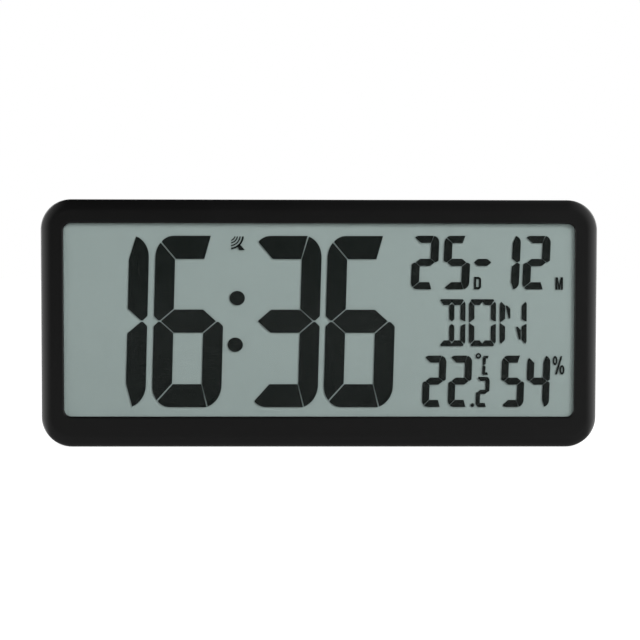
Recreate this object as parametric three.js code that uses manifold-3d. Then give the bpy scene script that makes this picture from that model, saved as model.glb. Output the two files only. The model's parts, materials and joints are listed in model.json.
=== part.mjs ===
// A radio-controlled clock with a large liquid crystal display, which hangs on a wall or stands on a table.
// Sizes are in millimetres. X runs to the right, Y to the back and Z up, from the middle of the base.

import * as THREE from "three";
import { mergeVertices } from "three/addons/utils/BufferGeometryUtils.js";
import Module from "manifold-3d";

const wasm = await Module();
wasm.setup();

// Sizes of the case: a front housing with the side walls, and a shallower rear cover
const CASE_WIDTH = 366;
const CASE_HEIGHT = 163;
const CASE_DEPTH = 28;
const CASE_CORNER = 20;
const FRONT_SHELL_DEPTH = 18;
const WALL = 2.4;
const FACE_THICK = 1.6;
const BACK_THICK = 2.2;
const FRONT_ROUND_IN = 7.5;
const FRONT_ROUND_DEEP = 6;
const BACK_ROUND = 4;
const RIB_HEIGHT = 2.4;
const RIB_THICK = 1.2;
const COVER_RIB_X = 62;
const COVER_RIB_LOW = 97;
const COVER_RIB_DROP = 16;
const LIP_LENGTH = 2.2;
const LIP_THICK = 1;

// How finely round shapes are drawn: steps in a quarter turn, and sides of a full one
const CORNER_STEPS = 8;
const ROUND_STEPS = 5;
const INNER_ROUND_STEPS = 3;
const WINDOW_STEPS = 6;
const SMALL_STEPS = 4;
const SLOT_STEPS = 2;
const CELL_SEAT_SIDES = 32;
const ROD_SIDES = 24;
const CELL_SIDES = 22;
const POST_SIDES = 20;
const BUTTON_SIDES = 16;
const SMALL_SIDES = 14;
const SCREW_SIDES = 12;
const SAME_POINT = 1e-4;

// Clearances: between seated pieces, and between the thin layers of the display
const GAP = 0.3;
const FILM_GAP = 0.1;
const OVERCUT = 1;
const FUSE = 0.2;

// Sizes of the window and its clear cover
const SIDE_MARGIN = 15.3;
const TOP_MARGIN = 15.6;
const BOTTOM_MARGIN = 20.4;
const WINDOW_CORNER = 5;
const WINDOW_BEVEL = 1.2;
const LENS_LAP = 3;
const LENS_THICK = 1;
const LENS_RIDGE = 1.2;

// Sizes of the liquid crystal cell, and of the rubber strip that connects it
const LCD_LAP = 2.5;
const LEDGE = 4.8;
const CELL_BOTTOM_LAP = 0.7;
const FILM_THICK = 0.25;
const GLASS_THICK = 0.7;
const FILM_INSET = 0.4;
const STRIP_LENGTH = 300;
const STRIP_THICK = 2.6;

// Sizes of the tray that holds the display, and of the circuit board behind it
const CARRIER_THICK = 1.2;
const CARRIER_RIM = 1.4;
const CARRIER_SIDE_CLEAR = 4.4;
const CARRIER_END_CLEAR = 1.2;
const CARRIER_CORNER = 12;
const BOARD_THICK = 1.4;
const BOARD_STANDOFF = 2.3;
const STANDOFF_RADIUS = 2.6;
const BOARD_SIDE_CLEAR = 25;
const BOARD_STRIP_BOTTOM = 13.5;
const BOARD_STRIP_TOP = 34;
const BOARD_TAB_MARGIN = 14;
const BOARD_SCREW_INSET = 10;
const CHIP_RADIUS = 7;
const CHIP_RISE = 2;
const CHIP_STEPS = 5;
const CHIP_AT = [-20, 24];
const CRYSTAL_RADIUS = 1.5;
const CRYSTAL_LENGTH = 8;
const CRYSTAL_AT = [2, 24];

// Sizes of the time signal receiver: a ferrite rod in a coil, and a small board
const ROD_RADIUS = 4;
const ROD_LENGTH = 100;
const ROD_DEPTH = 6.2;
const ROD_DROP = 34;
const COIL_RADIUS = 5.4;
const COIL_LENGTH = 42;
const CLIP_WIDTH = 6;
const CLIP_HEIGHT = 14;
const CLIP_AT = 38;
const CLIP_CORNER = 1;
const RECEIVER_WIDTH = 28;
const RECEIVER_HEIGHT = 20;
const RECEIVER_THICK = 1;
const RECEIVER_AT = [74, 101];
const RECEIVER_STANDOFF = 2;
const RECEIVER_CHIP = 5;

// Sizes of the buttons and of the switches that they press
const BUTTON_NAMES = ["mode", "up", "down", "alarm", "wave"];
const BUTTON_FIRST_X = -144;
const BUTTON_PITCH = 17;
const BUTTON_Z = 62;
const BUTTON_RADIUS = 4.5;
const BUTTON_EDGE = 0.5;
const BUTTON_HOLLOW = 0.3;
const BUTTON_SUNK = 0.1;
const BUTTON_FLANGE = 1.3;
const BUTTON_FLANGE_THICK = 1;
const BUTTON_POST_RADIUS = 2.2;
const BUTTON_DISH = 1.2;
const BUTTON_DISH_MARGIN = 3;
const SWITCH_SIZE = 6;
const SWITCH_HEIGHT = 3.4;
const SWITCH_WELL_RADIUS = 2.1;
const SWITCH_WELL_DEPTH = 2.2;
const PLUNGER_RADIUS = 1.75;
const PLUNGER_SUNK = 1.4;
const PLUNGER_RISE = 3.2;

// Sizes of the sounder and of the climate sensor, with the slots in the cover behind each
const SOUNDER_AT = [-112, 114];
const SOUNDER_RADIUS = 13.5;
const SOUNDER_THICK = 0.5;
const SOUNDER_CERAMIC_RADIUS = 10;
const SOUNDER_RING_HEIGHT = 2.5;
const SOUNDER_RING_THICK = 1.6;
const SENSOR_Z = 114;
const SENSOR_WIDTH = 16;
const SENSOR_HEIGHT = 18;
const SENSOR_RAIL_HEIGHT = 3;
const SENSOR_CHIP = 3;
const SLOT_WIDTH = 1.6;
const SLOT_PITCH = 3.6;
const SLOT_COUNT = 5;
const SENSOR_SLOT_LENGTH = 14;
const SOUND_FIELD_RADIUS = 9;

// Sizes of the battery bay, its cells, contacts and door
const BATTERY_RADIUS = 7.25;
const BATTERY_LENGTH = 50.5;
const NUB_RADIUS = 2.75;
const NUB_LENGTH = 1.2;
const CELL_RIM = 1.6;
const CELL_STEP = 0.3;
const CELL_EDGE = 0.6;
const BATTERY_SPACE = 0.8;
const BAY_X = 112;
const BAY_Z = 62;
const BAY_END_ROOM = 5;
const BAY_WALL = 2.4;
const BAY_FLOOR_THICK = 1.4;
const SADDLE_AT = 15;
const SADDLE_WIDTH = 1.6;
const SADDLE_HEIGHT = 2.8;
const CONTACT_THICK = 0.5;
const CONTACT_SIZE = 10;
const CONTACT_BOSS_RADIUS = 3;
const CONTACT_BOSS_RISE = 1.2;
const TAIL_WIDTH = 2.6;
const TAIL_REACH = 3;
const TAIL_DEPTH = 6.5;
const SPRING_WIRE = 0.45;
const SPRING_TURNS = 4;
const SPRING_TURN_STEPS = 8;
const SPRING_SIDES = 5;
const SPRING_BASE_RADIUS = 4.2;
const SPRING_TIP_RADIUS = 2.7;
const DOOR_THICK = 1.8;
const DOOR_LAP = 1.2;
const DOOR_CORNER = 2;
const DOOR_BATTERY_ROOM = 0.6;
const HOOK_AT = 18;
const HOOK_WIDTH = 8;
const HOOK_LEG = 1.2;
const HOOK_DEPTH = 2.2;
const HOOK_THICK = 1.2;
const HOOK_REACH = 2;
const HOOK_SLOT_DEPTH = 3.4;
const LATCH_WIDTH = 12;
const LATCH_LEAF = 1.2;
const LATCH_SPAN = 4;
const LATCH_DEPTH = 6;
const LATCH_TOP_SUNK = 0.2;
const LATCH_LIP = 1;
const LATCH_WALL = 1.4;

// Sizes of the fold-out stand and of the recess that it folds into
const STAND_THICK = 5.5;
const STAND_HINGE_Z = 106;
const STAND_LENGTH = 100;
const STAND_HEEL = 6;
const STAND_TOP_HALF = 33;
const STAND_FOOT_HALF = 46;
const STAND_CORNER = 6;
const STAND_SKIN = 2;
const STAND_RIB = 2.4;
const STAND_CLEAR = 0.6;
const STAND_PIN_RADIUS = 1.8;
const STAND_PIN_REACH = 2.8;
const PIN_CLEAR = 0.3;
const RECESS_WALL = 1.6;
const PAD_HALF = 35;
const PAD_THICK = 3;
const PAD_DEEP = 1.6;
const PAD_OUT = 1;
const NOTCH_WIDTH = 12;
const NOTCH_HEIGHT = 22;
const NOTCH_DEPTH = 4.6;
const NOTCH_Z = 30;
const NOTCH_CORNER = 4;

// Sizes of the two keyholes that the clock hangs on
const KEYHOLE_X = 75;
const KEYHOLE_DROP = 26;
const KEYHOLE_RADIUS = 4.7;
const KEYHOLE_SLOT = 4.8;
const KEYHOLE_RISE = 8;
const KEYHOLE_POCKET_DEPTH = 5;
const KEYHOLE_MARGIN = 1.8;
const KEYHOLE_WALL = 1.4;

// Sizes of the screws and of the posts that they enter
const SCREW_SIDE = 33;
const SCREW_TOP = 7.5;
const SCREW_BOTTOM = 8.3;
const SCREW_HEAD_FLAT = 0.7;
const COVER_POST_RADIUS = 3.5;
const COVER_WELL_RADIUS = 4.2;
const COVER_WELL_DEPTH = 7;
const COVER_SEAT_DEPTH = 4.6;
const COVER_HEAD_RADIUS = 2.9;
const COVER_HEAD_THICK = 1.9;
const COVER_SHANK_RADIUS = 1.4;
const COVER_SHANK_LENGTH = 11;
const CARRIER_SCREW_X = 100;
const CARRIER_POST_RADIUS = 3;
const SMALL_HEAD_RADIUS = 2.2;
const SMALL_HEAD_THICK = 1.4;
const SMALL_SHANK_RADIUS = 1;
const CARRIER_SHANK_LENGTH = 5;
const BOARD_SHANK_LENGTH = 4;

// Sizes of the wires, and how far to the side of its start each one lands on the board
const WIRE_RADIUS = 0.7;
const CABLE_RADIUS = 1.1;
const WIRE_SIDES = 6;
const WIRE_STEPS = 12;
const WIRE_RISE = 3;
const WIRE_INSET = 6;
const RED_LANDING = -10;
const BLACK_LANDING = -6;
const RECEIVER_LANDING = -6;
const SOUNDER_LANDING = 4;
const SENSOR_LANDING = -8;

// Planes from front to back, each worked out from the one before it
const FRONT = -CASE_DEPTH / 2;
const BACK = CASE_DEPTH / 2;
const PARTING = FRONT + FRONT_SHELL_DEPTH;
const FACE_BACK = FRONT + FACE_THICK;
const LENS_FRONT = FACE_BACK + FILM_GAP;
const LENS_BACK = LENS_FRONT + LENS_THICK;
const TOP_FILM_FRONT = LENS_BACK + GAP;
const FRONT_GLASS_FRONT = TOP_FILM_FRONT + FILM_THICK + FILM_GAP;
const REAR_GLASS_FRONT = FRONT_GLASS_FRONT + GLASS_THICK + FILM_GAP;
const REFLECTOR_FRONT = REAR_GLASS_FRONT + GLASS_THICK + FILM_GAP;
const CARRIER_FRONT = REFLECTOR_FRONT + FILM_THICK + GAP;
const CARRIER_BACK = CARRIER_FRONT + CARRIER_THICK;
const BOARD_FRONT = CARRIER_BACK + BOARD_STANDOFF + GAP;
const BOARD_BACK = BOARD_FRONT + BOARD_THICK;
const BACK_INNER = BACK - BACK_THICK;
const RECESS_FLOOR = BACK - STAND_THICK - STAND_CLEAR;
const DOOR_FRONT = BACK - DOOR_THICK;
const BATTERY_Y = DOOR_FRONT - DOOR_BATTERY_ROOM - BATTERY_RADIUS;
const BAY_FLOOR = BATTERY_Y - BATTERY_RADIUS - GAP;
const BAY_FRONT = BAY_FLOOR - BAY_FLOOR_THICK;
const DISH_FLOOR = BACK - BUTTON_DISH;
const DISH_INNER = DISH_FLOOR - BACK_THICK;
const SWITCH_FRONT = BOARD_BACK + FILM_GAP;
const PLUNGER_TOP = SWITCH_FRONT + SWITCH_HEIGHT + PLUNGER_RISE;
const WELL_FRONT = BACK - COVER_WELL_DEPTH;
const SEAT_BACK = BACK - COVER_SEAT_DEPTH;
const ROD_Y = CARRIER_BACK + ROD_DEPTH;
const HINGE_Y = BACK - STAND_THICK / 2;

// Outlines seen from the front
const CASE = { left: -CASE_WIDTH / 2, right: CASE_WIDTH / 2, bottom: 0, top: CASE_HEIGHT };
const WINDOW = {
  left: CASE.left + SIDE_MARGIN,
  right: CASE.right - SIDE_MARGIN,
  bottom: CASE.bottom + BOTTOM_MARGIN,
  top: CASE.top - TOP_MARGIN,
};
const LENS = grow(WINDOW, LENS_LAP);
const REAR_GLASS = { ...grow(WINDOW, LCD_LAP), bottom: WINDOW.bottom - CELL_BOTTOM_LAP };
const FRONT_GLASS = { ...REAR_GLASS, bottom: REAR_GLASS.bottom - LEDGE };
const BATTERY_ROW = BATTERY_RADIUS + BATTERY_SPACE / 2;
const BAY_LENGTH = BATTERY_LENGTH + 2 * BAY_END_ROOM;
const BAY_HEIGHT = 4 * BATTERY_RADIUS + 3 * BATTERY_SPACE;
const BAY = rectAt(BAY_X, BAY_Z, BAY_LENGTH, BAY_HEIGHT);
const DOOR = grow(BAY, DOOR_LAP);
const LATCH_TOP = DOOR.top + LATCH_SPAN - LATCH_LEAF + LATCH_LIP;
const KEYHOLE_Z = CASE.top - KEYHOLE_DROP;
const ROD_Z = CASE.top - ROD_DROP;
const SCREW_TOP_Z = CASE.top - SCREW_TOP;
const SCREW_X = CASE.right - SCREW_SIDE;
const SENSOR_AT = [SCREW_X, SENSOR_Z];
const BOARD_STRIP = {
  left: CASE.left + BOARD_SIDE_CLEAR,
  right: CASE.right - BOARD_SIDE_CLEAR,
  bottom: BOARD_STRIP_BOTTOM,
  top: BOARD_STRIP_TOP,
};
const BOARD_TAB = {
  left: buttonX(0) - BOARD_TAB_MARGIN,
  right: buttonX(BUTTON_NAMES.length - 1) + BOARD_TAB_MARGIN,
  bottom: BOARD_STRIP_BOTTOM,
  top: BUTTON_Z + BOARD_TAB_MARGIN,
};
const BOARD_SCREWS = [
  [BOARD_STRIP.left + BOARD_SCREW_INSET, (BOARD_STRIP_BOTTOM + BOARD_STRIP_TOP) / 2],
  [BOARD_STRIP.right - BOARD_SCREW_INSET, (BOARD_STRIP_BOTTOM + BOARD_STRIP_TOP) / 2],
];
const COVER_SCREWS = [
  [-SCREW_X, SCREW_TOP_Z],
  [0, SCREW_TOP_Z],
  [SCREW_X, SCREW_TOP_Z],
  [-SCREW_X, SCREW_BOTTOM],
  [SCREW_X, SCREW_BOTTOM],
];
const CARRIER_SCREWS = [
  [-CARRIER_SCREW_X, SCREW_TOP_Z],
  [CARRIER_SCREW_X, SCREW_TOP_Z],
  [-CARRIER_SCREW_X, SCREW_BOTTOM],
  [CARRIER_SCREW_X, SCREW_BOTTOM],
];

// Rectangles, as seen from the front
function rectAt(x, z, width, height) {
  return { left: x - width / 2, right: x + width / 2, bottom: z - height / 2, top: z + height / 2 };
}

function grow(rect, by) {
  return {
    left: rect.left - by,
    right: rect.right + by,
    bottom: rect.bottom - by,
    top: rect.top + by,
  };
}

// Turns a closed three.js geometry into a solid that can be cut and joined.
function solid(geometry) {
  const loose = geometry.index ? geometry.toNonIndexed() : geometry;
  const bare = new THREE.BufferGeometry().setAttribute("position", loose.getAttribute("position"));
  const merged = mergeVertices(bare, SAME_POINT);
  const corners = merged.index.array;
  const kept = [];
  for (let i = 0; i < corners.length; i += 3) {
    const [a, b, c] = corners.slice(i, i + 3);
    if (a !== b && b !== c && c !== a) kept.push(a, b, c);
  }
  const mesh = new wasm.Mesh({
    numProp: 3,
    vertProperties: merged.getAttribute("position").array,
    triVerts: new Uint32Array(kept),
  });
  return new wasm.Manifold(mesh);
}

function join(...bodies) {
  return bodies.reduce((whole, body) => whole.add(body));
}

function cut(body, ...tools) {
  return tools.reduce((left, tool) => left.subtract(tool), body);
}

// Turns a solid back into a three.js geometry with flat facets.
function facets(body) {
  const mesh = body.getMesh();
  const geometry = new THREE.BufferGeometry();
  geometry.setAttribute("position", new THREE.BufferAttribute(mesh.vertProperties, 3));
  geometry.setIndex(new THREE.BufferAttribute(mesh.triVerts, 1));
  const flat = geometry.toNonIndexed();
  flat.computeVertexNormals();
  return flat;
}

// A rounded rectangle's points at depth y, anticlockwise as seen from the front.
function ring(rect, radius, y, steps = CORNER_STEPS) {
  const centres = [
    [rect.right - radius, rect.bottom + radius],
    [rect.right - radius, rect.top - radius],
    [rect.left + radius, rect.top - radius],
    [rect.left + radius, rect.bottom + radius],
  ];
  return centres.flatMap(([x, z], quarter) =>
    Array.from({ length: steps + 1 }, (_, step) => {
      const angle = ((quarter - 1 + step / steps) * Math.PI) / 2;
      return new THREE.Vector3(x + radius * Math.cos(angle), y, z + radius * Math.sin(angle));
    }),
  );
}

// A closed skin over rings that lie one behind another, from front to back.
function loft(rings) {
  const count = rings[0].length;
  const last = (rings.length - 1) * count;
  const index = [];
  for (let r = 0; r + 1 < rings.length; r += 1) {
    for (let i = 0; i < count; i += 1) {
      const a = r * count + i;
      const b = r * count + ((i + 1) % count);
      index.push(a, a + count, b, b, a + count, b + count);
    }
  }
  for (let i = 1; i + 1 < count; i += 1) {
    index.push(0, i, i + 1, last, last + i + 1, last + i);
  }
  const geometry = new THREE.BufferGeometry().setFromPoints(rings.flat());
  geometry.setIndex(index);
  return solid(geometry);
}

function prism(rect, radius, front, back, steps = SMALL_STEPS) {
  return loft([ring(rect, radius, front, steps), ring(rect, radius, back, steps)]);
}

function block(rect, front, back) {
  const geometry = new THREE.BoxGeometry(rect.right - rect.left, back - front, rect.top - rect.bottom);
  const x = (rect.left + rect.right) / 2;
  const z = (rect.bottom + rect.top) / 2;
  return solid(geometry.translate(x, (front + back) / 2, z));
}

// A drawing of the front view, given depth and raised to a height.
function slab(shape, front, back, height = 0) {
  const options = { depth: back - front, bevelEnabled: false, curveSegments: SMALL_STEPS };
  const geometry = new THREE.ExtrudeGeometry(shape, options);
  return solid(geometry.rotateX(Math.PI / 2).translate(0, back, height));
}

// A round disc or post that runs from front to back.
function disc([x, z], radius, front, back, sides = SMALL_SIDES) {
  const geometry = new THREE.CylinderGeometry(radius, radius, back - front, sides);
  return solid(geometry.translate(x, (front + back) / 2, z));
}

// A hole for a screw's shank, from a depth to the back.
function pilot(at, shankRadius, front) {
  return disc(at, shankRadius + GAP, front, BACK, SCREW_SIDES);
}

// A round bar that runs across the clock.
function bar(radius, left, right, y, z, sides = ROD_SIDES) {
  const geometry = new THREE.CylinderGeometry(radius, radius, right - left, sides);
  return solid(geometry.rotateZ(Math.PI / 2).translate((left + right) / 2, y, z));
}

// A turned shape about the Y axis. Its profile of radius and depth starts and ends on the axis.
function turned(profile, sides = BUTTON_SIDES) {
  return solid(new THREE.LatheGeometry(profile.map(([radius, y]) => new THREE.Vector2(radius, y)), sides));
}

// A wire of round section along a curve.
function wire(curve, radius, steps = WIRE_STEPS, sides = WIRE_SIDES) {
  const section = Array.from({ length: sides }, (_, side) => {
    const angle = (2 * Math.PI * side) / sides;
    return new THREE.Vector2(radius * Math.cos(angle), radius * Math.sin(angle));
  });
  const options = { steps, extrudePath: curve, bevelEnabled: false };
  return solid(new THREE.ExtrudeGeometry(new THREE.Shape(section), options));
}

// An outline with straight sides and rounded corners. Each rounding reaches that far along both sides.
function roundedOutline(corners, reach) {
  const shape = new THREE.Shape();
  corners.forEach(([x, z], i) => {
    const corner = new THREE.Vector2(x, z);
    const before = new THREE.Vector2(...corners.at(i - 1));
    const after = new THREE.Vector2(...corners[(i + 1) % corners.length]);
    const start = before.sub(corner).setLength(reach).add(corner);
    const end = after.sub(corner).setLength(reach).add(corner);
    if (i === 0) shape.moveTo(start.x, start.y);
    else shape.lineTo(start.x, start.y);
    shape.quadraticCurveTo(corner.x, corner.y, end.x, end.y);
  });
  return shape;
}

// Materials
function finish(color, roughness, metalness = 0) {
  return new THREE.MeshStandardMaterial({ color, roughness, metalness });
}

const BLACK_PLASTIC = finish(0x1c1c1c, 0.45);
const REAR_PLASTIC = finish(0x202121, 0.6);
const CARRIER_PLASTIC = finish(0xd8d8d2, 0.6);
const CLEAR_PLASTIC = finish(0xf4f7f6, 0.08);
const CELL_GLASS = finish(0xdfe8e4, 0.1);
const TOP_FILM = finish(0x9aa39c, 0.4);
const REFLECTOR = finish(0x8e9a98, 0.5, 0.3);
const BOARD = finish(0x1f5a34, 0.5);
const EPOXY = finish(0x101010, 0.35);
const SILICONE = finish(0x2b2b2d, 0.8);
const STEEL = finish(0xb9babb, 0.3, 1);
const BRASS = finish(0xc9a55a, 0.35, 1);
const FERRITE = finish(0x35363a, 0.55);
const COPPER_WIRE = finish(0xa8552c, 0.4, 0.6);
const CELL_WRAP = finish(0x3c6f8f, 0.4, 0.2);
const BUTTON_PLASTIC = finish(0x2c2d2d, 0.55);
const RED_WIRE = finish(0xa01818, 0.5);
const BLACK_WIRE = finish(0x151515, 0.5);
const GREY_CABLE = finish(0x8a8c8e, 0.5);

function piece(name, body, material) {
  const mesh = new THREE.Mesh(facets(body), material);
  mesh.name = name;
  return mesh;
}

function group(...children) {
  const made = new THREE.Group();
  made.add(...children);
  return made;
}

// The case's outline drawn in by an inset, at depth y.
function caseRing(inset, y) {
  return ring(grow(CASE, -inset), CASE_CORNER - inset, y);
}

// The rings of a quarter ellipse in section, from the flat of a face out to the side wall.
function roundedRings(insideInset, outsideInset, faceY, sideY, steps) {
  return Array.from({ length: steps + 1 }, (_, step) => {
    const angle = ((step / steps) * Math.PI) / 2;
    const inset = insideInset - (insideInset - outsideInset) * Math.sin(angle);
    return caseRing(inset, sideY - (sideY - faceY) * Math.cos(angle));
  });
}

// Front housing
function frontHousing() {
  const roundEnd = FRONT + FRONT_ROUND_DEEP;
  const outside = [
    ...roundedRings(FRONT_ROUND_IN, 0, FRONT, roundEnd, ROUND_STEPS),
    caseRing(0, PARTING),
  ];
  const inside = [
    ...roundedRings(FRONT_ROUND_IN, WALL, FACE_BACK, roundEnd, INNER_ROUND_STEPS),
    caseRing(WALL, PARTING + OVERCUT),
  ];
  const rebateInset = WALL - LIP_THICK - GAP;
  const rebate = loft([
    caseRing(rebateInset, PARTING - LIP_LENGTH),
    caseRing(rebateInset, PARTING + OVERCUT),
  ]);
  const flare = WINDOW_BEVEL + OVERCUT;
  const opening = loft([
    ring(grow(WINDOW, flare), WINDOW_CORNER + flare, FRONT - OVERCUT, WINDOW_STEPS),
    ring(WINDOW, WINDOW_CORNER, FRONT + WINDOW_BEVEL, WINDOW_STEPS),
    ring(WINDOW, WINDOW_CORNER, FACE_BACK + OVERCUT, WINDOW_STEPS),
  ]);
  const ridgeFront = FACE_BACK - FUSE;
  const ridgeBack = LENS_BACK - GAP;
  const ridge = cut(
    prism(grow(LENS, GAP + LENS_RIDGE), WINDOW_CORNER, ridgeFront, ridgeBack),
    block(grow(LENS, GAP), ridgeFront - OVERCUT, ridgeBack + OVERCUT),
  );
  const shell = cut(loft(outside), loft(inside), rebate, opening);
  const posts = COVER_SCREWS.map((at) => housingPost(at, COVER_POST_RADIUS, WELL_FRONT - GAP));
  const shortPosts = CARRIER_SCREWS.map((at) => housingPost(at, CARRIER_POST_RADIUS, CARRIER_FRONT - GAP));
  const coverEnd = SEAT_BACK - COVER_SHANK_LENGTH - OVERCUT;
  const carrierEnd = CARRIER_BACK - CARRIER_SHANK_LENGTH;
  const pilots = [
    ...COVER_SCREWS.map((at) => pilot(at, COVER_SHANK_RADIUS, coverEnd)),
    ...CARRIER_SCREWS.map((at) => pilot(at, SMALL_SHANK_RADIUS, carrierEnd)),
  ];
  return cut(join(shell, ridge, ...posts, ...shortPosts), ...pilots);
}

// A screw post on the inside of the face, with a rib to the wall beside it.
function housingPost([x, z], radius, end) {
  const wallZ = z > CASE_HEIGHT / 2 ? CASE.top - WALL + FUSE : CASE.bottom + WALL - FUSE;
  const rib = {
    left: x - RIB_THICK / 2,
    right: x + RIB_THICK / 2,
    bottom: Math.min(z, wallZ),
    top: Math.max(z, wallZ),
  };
  const post = disc([x, z], radius, FACE_BACK - FUSE, end, POST_SIDES);
  return join(post, block(rib, FRONT + FRONT_ROUND_DEEP / 2, CARRIER_FRONT - OVERCUT));
}

// Display
function displayPieces() {
  const film = grow(REAR_GLASS, -FILM_INSET);
  const stripMiddle = (FRONT_GLASS.bottom + REAR_GLASS.bottom) / 2;
  const strip = rectAt(0, stripMiddle, STRIP_LENGTH, STRIP_THICK);
  const sheet = (rect, front, thick) => block(rect, front, front + thick);
  const stripFront = FRONT_GLASS_FRONT + GLASS_THICK + FILM_GAP;
  const stripDepth = BOARD_FRONT - FILM_GAP - stripFront;
  return group(
    piece("display_window", prism(LENS, WINDOW_CORNER / 2, LENS_FRONT, LENS_BACK), CLEAR_PLASTIC),
    piece("lcd_front_polariser", sheet(film, TOP_FILM_FRONT, FILM_THICK), TOP_FILM),
    piece("lcd_front_glass", sheet(FRONT_GLASS, FRONT_GLASS_FRONT, GLASS_THICK), CELL_GLASS),
    piece("lcd_rear_glass", sheet(REAR_GLASS, REAR_GLASS_FRONT, GLASS_THICK), CELL_GLASS),
    piece("lcd_reflector", sheet(film, REFLECTOR_FRONT, FILM_THICK), REFLECTOR),
    piece("connector_strip", sheet(strip, stripFront, stripDepth), SILICONE),
    piece("display_tray", displayTray(strip), CARRIER_PLASTIC),
  );
}

// The tray behind the display, with its rim, the slot for the connector strip and the board's standoffs.
function displayTray(strip) {
  const outline = {
    left: CASE.left + WALL + CARRIER_SIDE_CLEAR,
    right: CASE.right - WALL - CARRIER_SIDE_CLEAR,
    bottom: CASE.bottom + WALL + CARRIER_END_CLEAR,
    top: CASE.top - WALL - CARRIER_END_CLEAR,
  };
  const plate = prism(outline, CARRIER_CORNER, CARRIER_FRONT, CARRIER_BACK, ROUND_STEPS);
  const rimInside = grow(FRONT_GLASS, GAP);
  const rim = cut(
    block(grow(rimInside, CARRIER_RIM), LENS_BACK + GAP, CARRIER_FRONT + FUSE),
    block(rimInside, LENS_BACK + GAP - OVERCUT, CARRIER_FRONT),
  );
  const standoff = (at, rise) => disc(at, STANDOFF_RADIUS, CARRIER_BACK - FUSE, CARRIER_BACK + rise);
  const standoffs = BOARD_SCREWS.map((at) => standoff(at, BOARD_STANDOFF));
  const receiverPosts = [-1, 1].map((side) =>
    standoff([RECEIVER_AT[0] + (side * RECEIVER_WIDTH) / 4, RECEIVER_AT[1]], RECEIVER_STANDOFF),
  );
  const postHoles = COVER_SCREWS.map((at) => disc(at, COVER_POST_RADIUS + GAP, FRONT, BACK, POST_SIDES));
  const holes = [...CARRIER_SCREWS, ...BOARD_SCREWS].map((at) => pilot(at, SMALL_SHANK_RADIUS, FRONT));
  const slot = block(grow(strip, GAP), FRONT, BACK);
  return cut(join(plate, rim, ...standoffs, ...receiverPosts), slot, ...postHoles, ...holes);
}

// Circuit board, with the switches and the parts that are soldered to it
function mainBoard() {
  const plate = join(block(BOARD_STRIP, BOARD_FRONT, BOARD_BACK), block(BOARD_TAB, BOARD_FRONT, BOARD_BACK));
  return cut(plate, ...BOARD_SCREWS.map((at) => pilot(at, SMALL_SHANK_RADIUS, FRONT)));
}

// The controller lies under a dome of epoxy.
function chip() {
  const dome = Array.from({ length: CHIP_STEPS }, (_, step) => {
    const angle = ((step / CHIP_STEPS) * Math.PI) / 2;
    return [CHIP_RADIUS * Math.cos(angle), CHIP_RISE * Math.sin(angle)];
  });
  return turned([[0, 0], ...dome, [0, CHIP_RISE]]);
}

function switchBody() {
  const body = block(rectAt(0, 0, SWITCH_SIZE, SWITCH_SIZE), 0, SWITCH_HEIGHT);
  const wellFront = SWITCH_HEIGHT - SWITCH_WELL_DEPTH;
  return cut(body, disc([0, 0], SWITCH_WELL_RADIUS, wellFront, SWITCH_HEIGHT + OVERCUT));
}

function plunger() {
  return disc([0, 0], PLUNGER_RADIUS, SWITCH_HEIGHT - PLUNGER_SUNK, SWITCH_HEIGHT + PLUNGER_RISE);
}

// A button from its foot on the switch to its dished cap, in the clock's own depth.
function button() {
  const top = BACK - BUTTON_SUNK;
  const flangeBack = DISH_INNER - GAP;
  const flangeFront = flangeBack - BUTTON_FLANGE_THICK;
  return turned([
    [0, PLUNGER_TOP + GAP],
    [BUTTON_POST_RADIUS, PLUNGER_TOP + GAP],
    [BUTTON_POST_RADIUS, flangeFront],
    [BUTTON_RADIUS + BUTTON_FLANGE, flangeFront],
    [BUTTON_RADIUS + BUTTON_FLANGE, flangeBack],
    [BUTTON_RADIUS, flangeBack],
    [BUTTON_RADIUS, top - BUTTON_EDGE],
    [BUTTON_RADIUS - BUTTON_EDGE, top],
    [BUTTON_RADIUS / 2, top - BUTTON_HOLLOW],
    [0, top - BUTTON_HOLLOW],
  ]);
}

function buttonX(number) {
  return BUTTON_FIRST_X + number * BUTTON_PITCH;
}

function buttonPieces() {
  const cap = button();
  const base = switchBody();
  const stem = plunger();
  return BUTTON_NAMES.map((name, number) => {
    const body = piece(`${name}_switch`, base, EPOXY);
    const foot = piece(`${name}_plunger`, stem, BUTTON_PLASTIC);
    body.position.y = SWITCH_FRONT;
    foot.position.y = SWITCH_FRONT;
    const row = group(piece(`${name}_button`, cap, BUTTON_PLASTIC), body, foot);
    row.position.set(buttonX(number), 0, BUTTON_Z);
    return row;
  });
}

function boardPieces() {
  const blob = piece("controller_chip", chip(), EPOXY);
  blob.position.set(CHIP_AT[0], BOARD_BACK + FILM_GAP, CHIP_AT[1]);
  const crystal = bar(CRYSTAL_RADIUS, -CRYSTAL_LENGTH / 2, CRYSTAL_LENGTH / 2, 0, 0, SMALL_SIDES);
  const can = piece("clock_crystal", crystal, STEEL);
  can.position.set(CRYSTAL_AT[0], BOARD_BACK + CRYSTAL_RADIUS + FILM_GAP, CRYSTAL_AT[1]);
  return group(piece("main_board", mainBoard(), BOARD), blob, can, ...buttonPieces());
}

// Time signal receiver
function rodClip() {
  const foot = -ROD_DEPTH + GAP;
  const body = prism(rectAt(0, 0, CLIP_WIDTH, CLIP_HEIGHT), CLIP_CORNER, foot, ROD_RADIUS / 2);
  const seat = bar(ROD_RADIUS + GAP, -CLIP_WIDTH, CLIP_WIDTH, 0, 0);
  return cut(body, seat);
}

function coil() {
  const half = COIL_LENGTH / 2;
  const bore = bar(ROD_RADIUS + GAP, -COIL_LENGTH, COIL_LENGTH, 0, 0);
  return cut(bar(COIL_RADIUS, -half, half, 0, 0), bore);
}

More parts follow.
